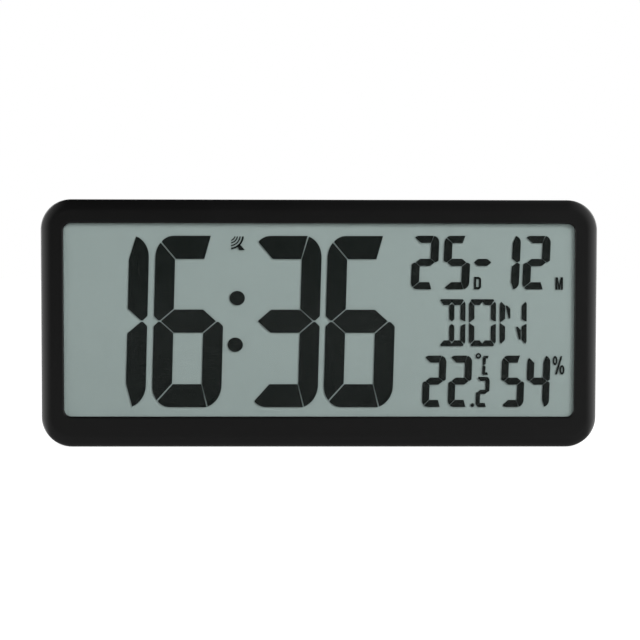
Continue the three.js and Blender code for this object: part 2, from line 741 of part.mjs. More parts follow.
function receiverBoard() {
  const board = block(rectAt(0, 0, RECEIVER_WIDTH, RECEIVER_HEIGHT), 0, RECEIVER_THICK);
  const body = block(rectAt(0, 0, RECEIVER_CHIP, RECEIVER_CHIP), RECEIVER_THICK - FUSE, 2 * RECEIVER_THICK);
  return join(board, body);
}

function receiverPieces() {
  const clip = rodClip();
  const clips = ["left", "right"].map((side, number) => {
    const made = piece(`${side}_rod_clip`, clip, CARRIER_PLASTIC);
    made.position.x = (2 * number - 1) * CLIP_AT;
    return made;
  });
  const rod = bar(ROD_RADIUS, -ROD_LENGTH / 2, ROD_LENGTH / 2, 0, 0);
  const winding = piece("aerial_coil", coil(), COPPER_WIRE);
  const aerial = group(piece("ferrite_rod", rod, FERRITE), winding, ...clips);
  aerial.position.set(0, ROD_Y, ROD_Z);
  const board = piece("receiver_board", receiverBoard(), BOARD);
  board.position.set(RECEIVER_AT[0], CARRIER_BACK + RECEIVER_STANDOFF + GAP, RECEIVER_AT[1]);
  return group(aerial, board);
}

// Sounder and climate sensor, which sit against the cover
function sounder() {
  return turned(
    [
      [0, -SOUNDER_THICK],
      [SOUNDER_CERAMIC_RADIUS, -SOUNDER_THICK],
      [SOUNDER_CERAMIC_RADIUS, 0],
      [SOUNDER_RADIUS, 0],
      [SOUNDER_RADIUS, SOUNDER_THICK],
      [0, SOUNDER_THICK],
    ],
    CELL_SIDES,
  );
}

function sensorBoard() {
  const board = block(rectAt(0, 0, SENSOR_WIDTH, SENSOR_HEIGHT), -RECEIVER_THICK, 0);
  return join(board, block(rectAt(0, 0, SENSOR_CHIP, SENSOR_CHIP), -FUSE, RECEIVER_THICK));
}

function coverSensors() {
  const disk = piece("sounder_disc", sounder(), BRASS);
  const sounderY = BACK_INNER - SOUNDER_RING_HEIGHT - SOUNDER_THICK - GAP;
  disk.position.set(SOUNDER_AT[0], sounderY, SOUNDER_AT[1]);
  const sensor = piece("climate_sensor", sensorBoard(), BOARD);
  sensor.position.set(SENSOR_AT[0], BACK_INNER - SENSOR_RAIL_HEIGHT - GAP, SENSOR_AT[1]);
  return group(disk, sensor);
}

// Rear cover: a shell, then what stands on its inside, then what is cut through it
function coverShell() {
  const roundStart = BACK - BACK_ROUND;
  const rim = PARTING + GAP;
  const outside = [
    caseRing(0, rim),
    ...roundedRings(BACK_ROUND, 0, BACK, roundStart, ROUND_STEPS - 1).reverse(),
  ];
  const inside = [
    caseRing(WALL, PARTING - LIP_LENGTH - OVERCUT),
    ...roundedRings(BACK_ROUND, WALL, BACK_INNER, roundStart, INNER_ROUND_STEPS - 1).reverse(),
  ];
  const lipInset = WALL - LIP_THICK;
  const lip = loft([caseRing(lipInset, PARTING - LIP_LENGTH + GAP), caseRing(lipInset, rim + FUSE)]);
  return cut(join(loft(outside), lip), loft(inside));
}

// Where the fold-out stand lies, in the plane of its hinge. It widens towards its foot.
function standOutline(side, top, bottom) {
  const slope = (STAND_FOOT_HALF - STAND_TOP_HALF) / (STAND_LENGTH + STAND_HEEL);
  const topHalf = STAND_TOP_HALF - slope * top + side;
  const footHalf = STAND_FOOT_HALF + slope * bottom + side;
  const corners = [
    [-footHalf, -STAND_LENGTH - bottom],
    [footHalf, -STAND_LENGTH - bottom],
    [topHalf, STAND_HEEL + top],
    [-topHalf, STAND_HEEL + top],
  ];
  return roundedOutline(corners, STAND_CORNER);
}

function standHalfAt(height) {
  const share = (STAND_HEEL - height) / (STAND_LENGTH + STAND_HEEL);
  return STAND_TOP_HALF + share * (STAND_FOOT_HALF - STAND_TOP_HALF);
}

// The stand's recess, as a solid grown by its wall or not. The heel swings inside its top end.
function standSpace(wall, front, back) {
  const heelSweep = Math.hypot(STAND_HEEL, STAND_THICK / 2) - STAND_HEEL;
  const grown = STAND_CLEAR + wall;
  return slab(standOutline(grown, heelSweep + grown, PAD_OUT + grown), front, back, STAND_HINGE_Z);
}

function pinSeats() {
  const innerX = standHalfAt(0) + STAND_CLEAR;
  const depth = STAND_PIN_REACH - STAND_CLEAR + PIN_CLEAR;
  const radius = STAND_PIN_RADIUS + PIN_CLEAR;
  const bosses = [-1, 1].map((side) => {
    const reach = (depth + RECESS_WALL + STAND_CLEAR) / 2;
    const rect = rectAt(side * (innerX + reach - STAND_CLEAR), STAND_HINGE_Z, 2 * reach, 4 * radius);
    return block(rect, RECESS_FLOOR - RECESS_WALL, BACK_INNER + FUSE);
  });
  const sockets = bar(radius, -innerX - depth, innerX + depth, HINGE_Y, STAND_HINGE_Z);
  return { bosses, sockets };
}

function notchParts() {
  const x = standHalfAt(NOTCH_Z - STAND_HINGE_Z) + NOTCH_WIDTH / 2;
  const hollow = rectAt(x, NOTCH_Z, NOTCH_WIDTH, NOTCH_HEIGHT);
  const floor = BACK - NOTCH_DEPTH;
  const corner = NOTCH_CORNER + RECESS_WALL;
  return {
    boss: prism(grow(hollow, RECESS_WALL), corner, floor - RECESS_WALL, BACK_INNER + FUSE),
    hollow: prism(hollow, NOTCH_CORNER, floor, BACK + OVERCUT),
  };
}

function keyholeParts(x) {
  const at = [x, KEYHOLE_Z];
  const pocket = {
    left: x - KEYHOLE_RADIUS - KEYHOLE_MARGIN,
    right: x + KEYHOLE_RADIUS + KEYHOLE_MARGIN,
    bottom: KEYHOLE_Z - KEYHOLE_RADIUS - KEYHOLE_MARGIN,
    top: KEYHOLE_Z + KEYHOLE_RISE + KEYHOLE_RADIUS + KEYHOLE_MARGIN / 2,
  };
  const pocketFront = BACK_INNER - KEYHOLE_POCKET_DEPTH;
  const slot = {
    left: x - KEYHOLE_SLOT / 2,
    right: x + KEYHOLE_SLOT / 2,
    bottom: KEYHOLE_Z,
    top: KEYHOLE_Z + KEYHOLE_RISE,
  };
  return {
    boss: block(grow(pocket, KEYHOLE_WALL), pocketFront - KEYHOLE_WALL, BACK_INNER + FUSE),
    hollows: [
      block(pocket, pocketFront, BACK_INNER),
      disc(at, KEYHOLE_RADIUS, pocketFront, BACK + OVERCUT, POST_SIDES),
      block(slot, BACK_INNER - FUSE, BACK + OVERCUT),
      disc([x, slot.top], KEYHOLE_SLOT / 2, BACK_INNER - FUSE, BACK + OVERCUT),
    ],
  };
}

// The battery bay: a box with a floor, saddles for the cells, slots for the contacts and room for the latch.
function bayParts() {
  const walls = block(grow(BAY, BAY_WALL), BAY_FRONT, BACK_INNER + FUSE);
  const hollow = block(BAY, BAY_FLOOR, BACK + OVERCUT);
  const doorway = prism(grow(DOOR, GAP), DOOR_CORNER, DOOR_FRONT - GAP, BACK + OVERCUT);
  const latchRoom = {
    left: BAY_X - LATCH_WIDTH / 2 - GAP,
    right: BAY_X + LATCH_WIDTH / 2 + GAP,
    bottom: BAY.top - FUSE,
    top: LATCH_TOP + GAP,
  };
  const latchFront = DOOR_FRONT - LATCH_DEPTH - GAP;
  const latchBox = block(grow(latchRoom, LATCH_WALL), latchFront - LATCH_WALL, BACK_INNER + FUSE);
  const latchHollow = block(latchRoom, latchFront, BACK + OVERCUT);
  const hookSlots = [-1, 1].map((side) => {
    const slot = {
      left: BAY_X + side * HOOK_AT - HOOK_WIDTH / 2 - GAP,
      right: BAY_X + side * HOOK_AT + HOOK_WIDTH / 2 + GAP,
      bottom: BAY.bottom - BAY_WALL - OVERCUT,
      top: BAY.bottom + OVERCUT,
    };
    const depth = DOOR_FRONT - HOOK_SLOT_DEPTH - GAP;
    const doorPart = { ...slot, bottom: DOOR.bottom - GAP };
    return join(block(slot, depth, BACK_INNER), block(doorPart, depth, DOOR_FRONT));
  });
  const tailSlots = [-1, 1].map((row) => {
    const z = BAY_Z + row * BATTERY_ROW;
    const slot = rectAt(BAY.left, z, 2 * BAY_WALL + OVERCUT, TAIL_WIDTH + 2 * GAP);
    const tail = BATTERY_Y - TAIL_DEPTH;
    return block(slot, tail - GAP, tail + CONTACT_THICK + GAP);
  });
  const cells = [-1, 1].map((row) =>
    bar(BATTERY_RADIUS + GAP, BAY.left, BAY.right, BATTERY_Y, BAY_Z + row * BATTERY_ROW, CELL_SEAT_SIDES),
  );
  const saddles = [-1, 1].map((side) => {
    const rect = rectAt(BAY_X + side * SADDLE_AT, BAY_Z, SADDLE_WIDTH, BAY_HEIGHT + 2 * FUSE);
    return cut(block(rect, BAY_FLOOR - FUSE, BAY_FLOOR + SADDLE_HEIGHT), ...cells);
  });
  return {
    walls: [walls, latchBox],
    hollows: [hollow, doorway, latchHollow, ...hookSlots, ...tailSlots],
    saddles,
  };
}

// A row of parallel slots within a round or a square field.
function slotRow([x, z], lengthAt) {
  return Array.from({ length: SLOT_COUNT }, (_, number) => {
    const offset = (number - (SLOT_COUNT - 1) / 2) * SLOT_PITCH;
    const slot = rectAt(x + offset, z, SLOT_WIDTH, lengthAt(offset));
    return prism(slot, SLOT_WIDTH / 2, BACK_INNER - OVERCUT, BACK + OVERCUT, SLOT_STEPS);
  });
}

// Low ribs that stiffen the cover's inside, across it and up it.
function coverRibs() {
  const width = CASE_WIDTH - 2 * WALL;
  const height = CASE_HEIGHT - 2 * WALL;
  const across = [COVER_RIB_LOW, CASE.top - COVER_RIB_DROP].map((z) => rectAt(0, z, width, RIB_THICK));
  const up = [-COVER_RIB_X, COVER_RIB_X].map((x) => rectAt(x, CASE_HEIGHT / 2, RIB_THICK, height));
  return [...across, ...up].map((rect) => block(rect, BACK_INNER - RIB_HEIGHT, BACK_INNER + FUSE));
}

function rearCover() {
  const seats = pinSeats();
  const notch = notchParts();
  const bay = bayParts();
  const keyholes = [-KEYHOLE_X, KEYHOLE_X].map(keyholeParts);
  const dish = {
    left: buttonX(0) - BUTTON_RADIUS - BUTTON_DISH_MARGIN,
    right: buttonX(BUTTON_NAMES.length - 1) + BUTTON_RADIUS + BUTTON_DISH_MARGIN,
    bottom: BUTTON_Z - BUTTON_RADIUS - BUTTON_DISH_MARGIN,
    top: BUTTON_Z + BUTTON_RADIUS + BUTTON_DISH_MARGIN,
  };
  const dishCorner = BUTTON_RADIUS + BUTTON_DISH_MARGIN;
  const buttonPlaces = BUTTON_NAMES.map((_, number) => [buttonX(number), BUTTON_Z]);
  const ringOuter = SOUNDER_RADIUS;
  const ringFront = BACK_INNER - SOUNDER_RING_HEIGHT;
  const sounderRing = cut(
    disc(SOUNDER_AT, ringOuter, ringFront, BACK_INNER + FUSE, CELL_SIDES),
    disc(SOUNDER_AT, ringOuter - SOUNDER_RING_THICK, ringFront - OVERCUT, BACK_INNER, CELL_SIDES),
  );
  const rails = [-1, 1].map((side) => {
    const rect = rectAt(SENSOR_AT[0], SENSOR_AT[1] + (side * SENSOR_HEIGHT) / 2, SENSOR_WIDTH, WALL);
    return block(rect, BACK_INNER - SENSOR_RAIL_HEIGHT, BACK_INNER + FUSE);
  });
  const added = [
    ...coverRibs(),
    ...COVER_SCREWS.map((at) => disc(at, COVER_WELL_RADIUS, WELL_FRONT, BACK_INNER + FUSE)),
    standSpace(RECESS_WALL, RECESS_FLOOR - RECESS_WALL, BACK_INNER + FUSE),
    ...seats.bosses,
    notch.boss,
    ...keyholes.map((keyhole) => keyhole.boss),
    ...bay.walls,
    prism(grow(dish, RECESS_WALL), dishCorner + RECESS_WALL, DISH_INNER, BACK_INNER + FUSE, CORNER_STEPS),
    sounderRing,
    ...rails,
  ];
  const removed = [
    ...COVER_SCREWS.map((at) => disc(at, COVER_HEAD_RADIUS + GAP, SEAT_BACK, BACK + OVERCUT)),
    ...COVER_SCREWS.map((at) => disc(at, COVER_SHANK_RADIUS + GAP, WELL_FRONT - OVERCUT, BACK, SCREW_SIDES)),
    standSpace(0, RECESS_FLOOR, BACK + OVERCUT),
    seats.sockets,
    notch.hollow,
    ...keyholes.flatMap((keyhole) => keyhole.hollows),
    ...bay.hollows,
    prism(dish, dishCorner, DISH_FLOOR, BACK + OVERCUT, CORNER_STEPS),
    ...buttonPlaces.map((at) =>
      disc(at, BUTTON_RADIUS + GAP, DISH_INNER - OVERCUT, BACK + OVERCUT, POST_SIDES),
    ),
    ...slotRow(SOUNDER_AT, (offset) => 2 * Math.sqrt(SOUND_FIELD_RADIUS ** 2 - offset ** 2)),
    ...slotRow(SENSOR_AT, () => SENSOR_SLOT_LENGTH),
  ];
  return join(cut(join(coverShell(), ...added), ...removed), ...bay.saddles);
}

// Power: two cells, three contacts and the door
function battery() {
  const half = BATTERY_LENGTH / 2;
  const body = half - NUB_LENGTH;
  return turned(
    [
      [0, -half],
      [BATTERY_RADIUS - CELL_RIM, -half],
      [BATTERY_RADIUS - CELL_RIM, -half + CELL_STEP],
      [BATTERY_RADIUS - CELL_EDGE, -half + CELL_STEP],
      [BATTERY_RADIUS, -half + CELL_STEP + CELL_EDGE],
      [BATTERY_RADIUS, body - CELL_EDGE],
      [BATTERY_RADIUS - CELL_EDGE, body],
      [NUB_RADIUS, body],
      [NUB_RADIUS, half - CELL_STEP],
      [NUB_RADIUS - CELL_STEP, half],
      [0, half],
    ],
    CELL_SIDES,
  );
}

// A cone-shaped spring of round wire, from its base ring on the contact plate to its tip at the cell.
class SpringCurve extends THREE.Curve {
  constructor(baseX, tipX, z) {
    super();
    this.baseX = baseX;
    this.tipX = tipX;
    this.z = z;
  }

  getPoint(share, target = new THREE.Vector3()) {
    const angle = 2 * Math.PI * SPRING_TURNS * share;
    const radius = THREE.MathUtils.lerp(SPRING_BASE_RADIUS, SPRING_TIP_RADIUS, share);
    const x = THREE.MathUtils.lerp(this.baseX, this.tipX, share);
    return target.set(x, radius * Math.cos(angle), this.z + radius * Math.sin(angle));
  }
}

// The least gap between neighbouring turns, measured on points along the wire.
function springGap(curve) {
  const pointsPerTurn = 48;
  const points = curve.getPoints(SPRING_TURNS * pointsPerTurn);
  let least = Infinity;
  points.forEach((point, i) => {
    for (let j = i + pointsPerTurn / 2; j < points.length; j += 1) {
      least = Math.min(least, point.distanceTo(points[j]) - 2 * SPRING_WIRE);
    }
  });
  return least;
}

// Contacts are drawn about the middle of the bay, with the cells' axes at depth zero.
const CELL_SHIFT = BAY_END_ROOM - GAP - CONTACT_THICK - CONTACT_BOSS_RISE - GAP;

function contactPlate(side, low, high) {
  const outer = BAY_LENGTH / 2 - GAP;
  const inner = outer - CONTACT_THICK;
  const rect = {
    left: side > 0 ? inner : -outer,
    right: side > 0 ? outer : -inner,
    bottom: low - CONTACT_SIZE / 2,
    top: high + CONTACT_SIZE / 2,
  };
  return block(rect, -CONTACT_SIZE / 2, CONTACT_SIZE / 2);
}

function contactBoss(side, z) {
  const inner = BAY_LENGTH / 2 - GAP - CONTACT_THICK;
  const ends = [side * (inner + CONTACT_THICK / 2), side * (inner - CONTACT_BOSS_RISE)];
  return bar(CONTACT_BOSS_RADIUS, Math.min(...ends), Math.max(...ends), 0, z, BUTTON_SIDES);
}

function contactSpring(side, z) {
  const baseX = BAY_LENGTH / 2 - GAP - CONTACT_THICK / 2;
  const tipX = BATTERY_LENGTH / 2 - CELL_SHIFT + GAP + SPRING_WIRE;
  const curve = new SpringCurve(side * baseX, side * tipX, z);
  console.log(`contact spring: least gap between its turns ${springGap(curve).toFixed(2)} mm`);
  return wire(curve, SPRING_WIRE, SPRING_TURNS * SPRING_TURN_STEPS, SPRING_SIDES);
}

function contactTail(z) {
  const inner = BAY_LENGTH / 2 - GAP - CONTACT_THICK / 2;
  const outer = BAY_LENGTH / 2 + BAY_WALL + TAIL_REACH;
  const rect = { left: -outer, right: -inner, bottom: z - TAIL_WIDTH / 2, top: z + TAIL_WIDTH / 2 };
  const stem = { ...rect, left: -inner - CONTACT_THICK / 2 };
  return join(
    block(rect, -TAIL_DEPTH, -TAIL_DEPTH + CONTACT_THICK),
    block({ ...stem, right: stem.left + CONTACT_THICK }, -TAIL_DEPTH, 0),
  );
}

function powerPieces() {
  const upper = BATTERY_ROW;
  const lower = -BATTERY_ROW;
  const cell = battery();
  const upperCell = piece("upper_battery", cell, CELL_WRAP);
  const lowerCell = piece("lower_battery", cell, CELL_WRAP);
  upperCell.rotation.z = Math.PI / 2;
  upperCell.position.set(-CELL_SHIFT, 0, upper);
  lowerCell.rotation.z = -Math.PI / 2;
  lowerCell.position.set(CELL_SHIFT, 0, lower);
  const positive = join(contactPlate(-1, upper, upper), contactBoss(-1, upper), contactTail(upper));
  const negative = join(contactPlate(-1, lower, lower), contactSpring(-1, lower), contactTail(lower));
  const bridge = join(contactPlate(1, lower, upper), contactSpring(1, upper), contactBoss(1, lower));
  const made = group(
    upperCell,
    lowerCell,
    piece("positive_contact", positive, STEEL),
    piece("negative_contact", negative, STEEL),
    piece("bridge_contact", bridge, STEEL),
  );
  made.position.set(BAY_X, BATTERY_Y, BAY_Z);
  return made;
}

// The door turns out on two hooks at its lower edge, and a bent leaf at its upper edge holds it shut.
function batteryDoor() {
  const plate = prism(DOOR, DOOR_CORNER - GAP, DOOR_FRONT, BACK);
  const hooks = [-1, 1].map((side) => {
    const x = BAY_X + side * HOOK_AT;
    const sides = { left: x - HOOK_WIDTH / 2, right: x + HOOK_WIDTH / 2 };
    const leg = { ...sides, bottom: DOOR.bottom, top: DOOR.bottom + HOOK_LEG };
    const toe = { ...leg, bottom: DOOR.bottom - HOOK_REACH };
    return join(
      block(leg, DOOR_FRONT - HOOK_DEPTH, DOOR_FRONT + FUSE),
      block(toe, DOOR_FRONT - HOOK_DEPTH, DOOR_FRONT - HOOK_DEPTH + HOOK_THICK),
    );
  });
  const leafSides = { left: BAY_X - LATCH_WIDTH / 2, right: BAY_X + LATCH_WIDTH / 2 };
  const nearLeaf = { ...leafSides, bottom: DOOR.top - LATCH_LEAF - FUSE, top: DOOR.top - FUSE };
  const farBottom = nearLeaf.bottom + LATCH_SPAN - LATCH_LEAF;
  const farLeaf = { ...nearLeaf, bottom: farBottom, top: farBottom + LATCH_LEAF };
  const bend = { ...nearLeaf, top: farLeaf.top };
  const fingerPad = { ...farLeaf, top: LATCH_TOP };
  const bendFront = DOOR_FRONT - LATCH_DEPTH;
  const latch = join(
    block(nearLeaf, bendFront, DOOR_FRONT + FUSE),
    block(bend, bendFront, bendFront + LATCH_LEAF),
    block(farLeaf, bendFront, BACK - LATCH_TOP_SUNK),
    block(fingerPad, BACK - LATCH_TOP_SUNK - LATCH_LEAF, BACK - LATCH_TOP_SUNK),
    block(fingerPad, BACK_INNER - GAP - LATCH_LIP, BACK_INNER - GAP),
  );
  return join(plate, ...hooks, latch);
}

// Stand, drawn about its hinge line
function standBody() {
  const half = STAND_THICK / 2;
  const cellsFront = -half - OVERCUT;
  const cellsBack = half - STAND_SKIN;
  const whole = slab(standOutline(0, 0, 0), -half, half);
  const heelRect = rectAt(0, STAND_HEEL / 2 + OVERCUT, 4 * STAND_TOP_HALF, STAND_HEEL + 2 * OVERCUT);
  const heelCut = block(heelRect, -STAND_THICK, 0);
  const barrel = bar(half, -standHalfAt(half), standHalfAt(half), 0, 0);
  const pinEnd = standHalfAt(0) + STAND_PIN_REACH;
  const pins = bar(STAND_PIN_RADIUS, -pinEnd, pinEnd, 0, 0);
  const low = -STAND_LENGTH + PAD_DEEP + 2 * STAND_RIB;
  const high = -half - STAND_RIB;
  const middle = (low + high) / 2;
  const hollow = slab(
    roundedOutline(
      [
        [-standHalfAt(low) + STAND_RIB, low],
        [standHalfAt(low) - STAND_RIB, low],
        [standHalfAt(high) - STAND_RIB, high],
        [-standHalfAt(high) + STAND_RIB, high],
      ],
      STAND_CORNER / 2,
    ),
    cellsFront,
    cellsBack,
  );
  const ribs = [
    block(rectAt(0, middle, 4 * STAND_FOOT_HALF, STAND_RIB / 2), cellsFront, cellsBack),
    ...[-1, 1].map((side) =>
      block(rectAt((side * STAND_TOP_HALF) / 3, middle, STAND_RIB / 2, STAND_LENGTH), cellsFront, cellsBack),
    ),
  ];
  const groove = padRect(GAP, PAD_DEEP);
  return cut(
    join(cut(whole, heelCut), barrel, pins),
    cut(hollow, ...ribs),
    block(groove, -PAD_THICK / 2 - GAP, PAD_THICK / 2 + GAP),
  );
}

function padRect(clearance, depth) {
  return {
    left: -PAD_HALF - clearance,
    right: PAD_HALF + clearance,
    bottom: -STAND_LENGTH - OVERCUT,
    top: -STAND_LENGTH + depth,
  };
}

function standPieces() {
  const pad = { ...padRect(0, PAD_DEEP - GAP), bottom: -STAND_LENGTH - PAD_OUT };
  const made = group(
    piece("stand", standBody(), REAR_PLASTIC),
    piece("stand_pad", block(pad, -PAD_THICK / 2, PAD_THICK / 2), SILICONE),
  );
  made.position.set(0, HINGE_Y, STAND_HINGE_Z);
  return made;
}

// Screws: the head's underside is at zero, and the shank runs to the front
function screw(headRadius, headThick, shankRadius, shankLength) {
  return turned(
    [
      [0, -shankLength],
      [shankRadius, -shankLength + shankRadius],
      [shankRadius, 0],
      [headRadius, 0],
      [headRadius, headThick / 2],
      [headRadius * SCREW_HEAD_FLAT, headThick],
      [0, headThick],
    ],
    SCREW_SIDES,
  );
}

function screwSet(name, places, seat, body) {
  return places.map(([x, z], number) => {
    const made = piece(`${name}_${number + 1}`, body, STEEL);
    made.position.set(x, seat + GAP, z);
    return made;
  });
}

function screwPieces() {
  const coverScrew = screw(COVER_HEAD_RADIUS, COVER_HEAD_THICK, COVER_SHANK_RADIUS, COVER_SHANK_LENGTH);
  const trayScrew = screw(SMALL_HEAD_RADIUS, SMALL_HEAD_THICK, SMALL_SHANK_RADIUS, CARRIER_SHANK_LENGTH);
  const boardScrew = screw(SMALL_HEAD_RADIUS, SMALL_HEAD_THICK, SMALL_SHANK_RADIUS, BOARD_SHANK_LENGTH);
  return [
    ...screwSet("cover_screw", COVER_SCREWS, SEAT_BACK, coverScrew),
    ...screwSet("tray_screw", CARRIER_SCREWS, CARRIER_BACK, trayScrew),
    ...screwSet("board_screw", BOARD_SCREWS, BOARD_BACK, boardScrew),
  ];
}

// Wires. Each leaves what it is soldered to square to its face, and is led clear of what lies between.
function lead(name, points, radius, material) {
  const curve = new THREE.CatmullRomCurve3(points.map((point) => new THREE.Vector3(...point)));
  return piece(name, wire(curve, radius), material);
}

// The two points that a wire's end runs through as it leaves a face along Y.
function soldered(x, face, z, run) {
  return [
    [x, face + Math.sign(run) * GAP, z],
    [x, face + run, z],
  ];
}

function batteryWire(name, row, aside, material) {
  const x = BAY.left - BAY_WALL - TAIL_REACH - GAP;
  const landing = x + aside;
  const y = BATTERY_Y - TAIL_DEPTH + CONTACT_THICK / 2;
  const z = BAY_Z + row * BATTERY_ROW;
  const board = soldered(landing, BOARD_BACK, BOARD_STRIP_TOP - WIRE_INSET, WIRE_RISE).reverse();
  const middle = [landing, board[0][1] + 1, (z + BOARD_STRIP_TOP) / 2];
  return lead(name, [[x, y, z], [x - WIRE_RISE, y, z], middle, ...board], WIRE_RADIUS, material);
}

function wirePieces() {
  const receiverX = RECEIVER_AT[0] - RECEIVER_WIDTH / 2 + WIRE_INSET;
  const receiverZ = RECEIVER_AT[1] - RECEIVER_HEIGHT / 2;
  const receiverFace = CARRIER_BACK + RECEIVER_STANDOFF + GAP + RECEIVER_THICK;
  const sounderFace = BACK_INNER - SOUNDER_RING_HEIGHT - 2 * SOUNDER_THICK - GAP;
  const sounderZ = SOUNDER_AT[1] - SOUNDER_RADIUS;
  const sensorFace = BACK_INNER - SENSOR_RAIL_HEIGHT - RECEIVER_THICK - GAP;
  const sensorZ = SENSOR_AT[1] - SENSOR_HEIGHT / 2;
  const receiverRoute = [
    ...soldered(receiverX, receiverFace, receiverZ + WIRE_INSET, WIRE_RISE),
    [receiverX - 3, receiverFace + WIRE_RISE + 1, receiverZ - 10],
    [receiverX + RECEIVER_LANDING, BOARD_BACK + WIRE_RISE + 1, BOARD_STRIP_TOP + 12],
    ...soldered(receiverX + RECEIVER_LANDING, BOARD_BACK, BOARD_STRIP_TOP - WIRE_INSET, WIRE_RISE).reverse(),
  ];
  const sounderRoute = [
    ...soldered(SOUNDER_AT[0], sounderFace, sounderZ + WIRE_INSET, -WIRE_RISE),
    [SOUNDER_AT[0] + 2, (sounderFace + BOARD_BACK) / 2, (sounderZ + BOARD_TAB.top) / 2],
    ...soldered(SOUNDER_AT[0] + SOUNDER_LANDING, BOARD_BACK, BOARD_TAB.top - WIRE_INSET, WIRE_RISE).reverse(),
  ];
  const sensorRoute = [
    ...soldered(SENSOR_AT[0], sensorFace, sensorZ + WIRE_INSET, -WIRE_RISE),
    [SENSOR_AT[0] + 1, (sensorFace + BOARD_BACK) / 2, (sensorZ + BOARD_STRIP_TOP) / 2],
    ...soldered(SENSOR_AT[0] + SENSOR_LANDING, BOARD_BACK, BOARD_STRIP_TOP - WIRE_INSET, WIRE_RISE).reverse(),
  ];
  return [
    batteryWire("red_battery_wire", 1, RED_LANDING, RED_WIRE),
    batteryWire("black_battery_wire", -1, BLACK_LANDING, BLACK_WIRE),
    lead("receiver_cable", receiverRoute, CABLE_RADIUS, GREY_CABLE),
    lead("sounder_cable", sounderRoute, CABLE_RADIUS, GREY_CABLE),
    lead("sensor_cable", sensorRoute, CABLE_RADIUS, GREY_CABLE),
  ];
}

// The whole clock
const clock = group(
  piece("front_housing", frontHousing(), BLACK_PLASTIC),
  displayPieces(),
  boardPieces(),
  receiverPieces(),
  coverSensors(),
  piece("rear_cover", rearCover(), REAR_PLASTIC),
  powerPieces(),
  piece("battery_door", batteryDoor(), REAR_PLASTIC),
  standPieces(),
  ...screwPieces(),
  ...wirePieces(),
);

export default clock;
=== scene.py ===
# %% [markdown]
# # A radio-controlled clock, finished in Blender
#
# The clock is a wide, flat case of satin black plastic with a large liquid crystal display. It hangs on two
# keyholes or leans on a stand that folds out of its back. The CAD frame already holds every piece at its
# real size, with faceted curves. This script gives the pieces their fine surfaces, their materials, the
# signs on the display and the light.
#
# Loading the frame comes first, because every size below is read from it or fits it.

# %% Load the frame
import json
import math
from collections import namedtuple

import bmesh
import bpy
from mathutils import Euler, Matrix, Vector


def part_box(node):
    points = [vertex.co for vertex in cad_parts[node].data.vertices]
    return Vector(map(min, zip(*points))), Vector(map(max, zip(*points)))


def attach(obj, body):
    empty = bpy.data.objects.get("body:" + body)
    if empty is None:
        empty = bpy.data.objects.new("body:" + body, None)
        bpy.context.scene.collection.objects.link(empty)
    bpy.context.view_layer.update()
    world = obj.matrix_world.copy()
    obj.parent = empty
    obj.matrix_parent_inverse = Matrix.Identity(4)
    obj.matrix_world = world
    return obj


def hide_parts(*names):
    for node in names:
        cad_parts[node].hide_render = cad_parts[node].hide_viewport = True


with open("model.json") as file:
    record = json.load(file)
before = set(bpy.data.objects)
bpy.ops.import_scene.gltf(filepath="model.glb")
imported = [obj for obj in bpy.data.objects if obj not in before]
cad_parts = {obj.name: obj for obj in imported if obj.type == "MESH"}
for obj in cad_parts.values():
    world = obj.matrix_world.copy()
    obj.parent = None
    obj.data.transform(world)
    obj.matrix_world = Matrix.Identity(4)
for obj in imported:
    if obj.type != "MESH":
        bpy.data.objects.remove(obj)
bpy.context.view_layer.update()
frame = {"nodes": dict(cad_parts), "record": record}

# %% [markdown]
# ## Working in millimetres
#
# A clock is drawn in millimetres, and Blender's scene is in metres. All shapes below are written in
# millimetres and are scaled once, where a mesh is made. X runs along the width, Y from the display to the
# back, Z up. An outline is what one sees from the front, so a rectangle has a left, a right, a bottom and a
# top.

# %% Rectangles and boxes of the frame, in millimetres
MM = 0.001


class Rect(namedtuple("Rect", "left right bottom top")):
    @property
    def width(self):
        return self.right - self.left

    @property
    def height(self):
        return self.top - self.bottom


def rect_at(x, z, width, height):
    return Rect(x - width / 2, x + width / 2, z - height / 2, z + height / 2)


def strip(x, width, bottom, top):
    return Rect(x - width / 2, x + width / 2, bottom, top)


def grow(rect, by):
    return Rect(rect.left - by, rect.right + by, rect.bottom - by, rect.top + by)


def box_mm(node):
    low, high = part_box(node)
    return low / MM, high / MM


def front_of(node):
    return box_mm(node)[0].y


def back_of(node):
    return box_mm(node)[1].y


def rect_of(node):
    low, high = box_mm(node)
    return Rect(low.x, high.x, low.z, high.z)


def middle_of(node):
    low, high = box_mm(node)
    return (low + high) / 2


CASE = rect_of("front_housing")
FRONT, PARTING = front_of("front_housing"), back_of("front_housing")
BACK = back_of("rear_cover")
print(f"case {CASE.width:.1f} x {CASE.height:.1f} x {BACK - FRONT:.1f} mm")

# %% [markdown]
# ## The camera
#
# The photograph looks straight at the display from a little above and a little to the left, through a long
# lens, so the case hardly tapers. The place and the turn were solved from the corners of the case and of
# the window in the photograph, and the lens follows from the distance.

# %% Camera
CAMERA_AT = (-18.8, -1198.3, 142.6)
CAMERA_TILT = (90 - 2.826, -0.098, -0.919)
LENS_LENGTH = 101.65

camera_data = bpy.data.cameras.new("camera")
camera_data.lens = LENS_LENGTH
camera = bpy.data.objects.new("camera", camera_data)
camera.location = Vector(CAMERA_AT) * MM
camera.rotation_euler = Euler([math.radians(angle) for angle in CAMERA_TILT])
bpy.context.scene.collection.objects.link(camera)
bpy.context.scene.camera = camera
print("camera at", [round(value, 3) for value in camera.location], "m, lens", LENS_LENGTH, "mm")

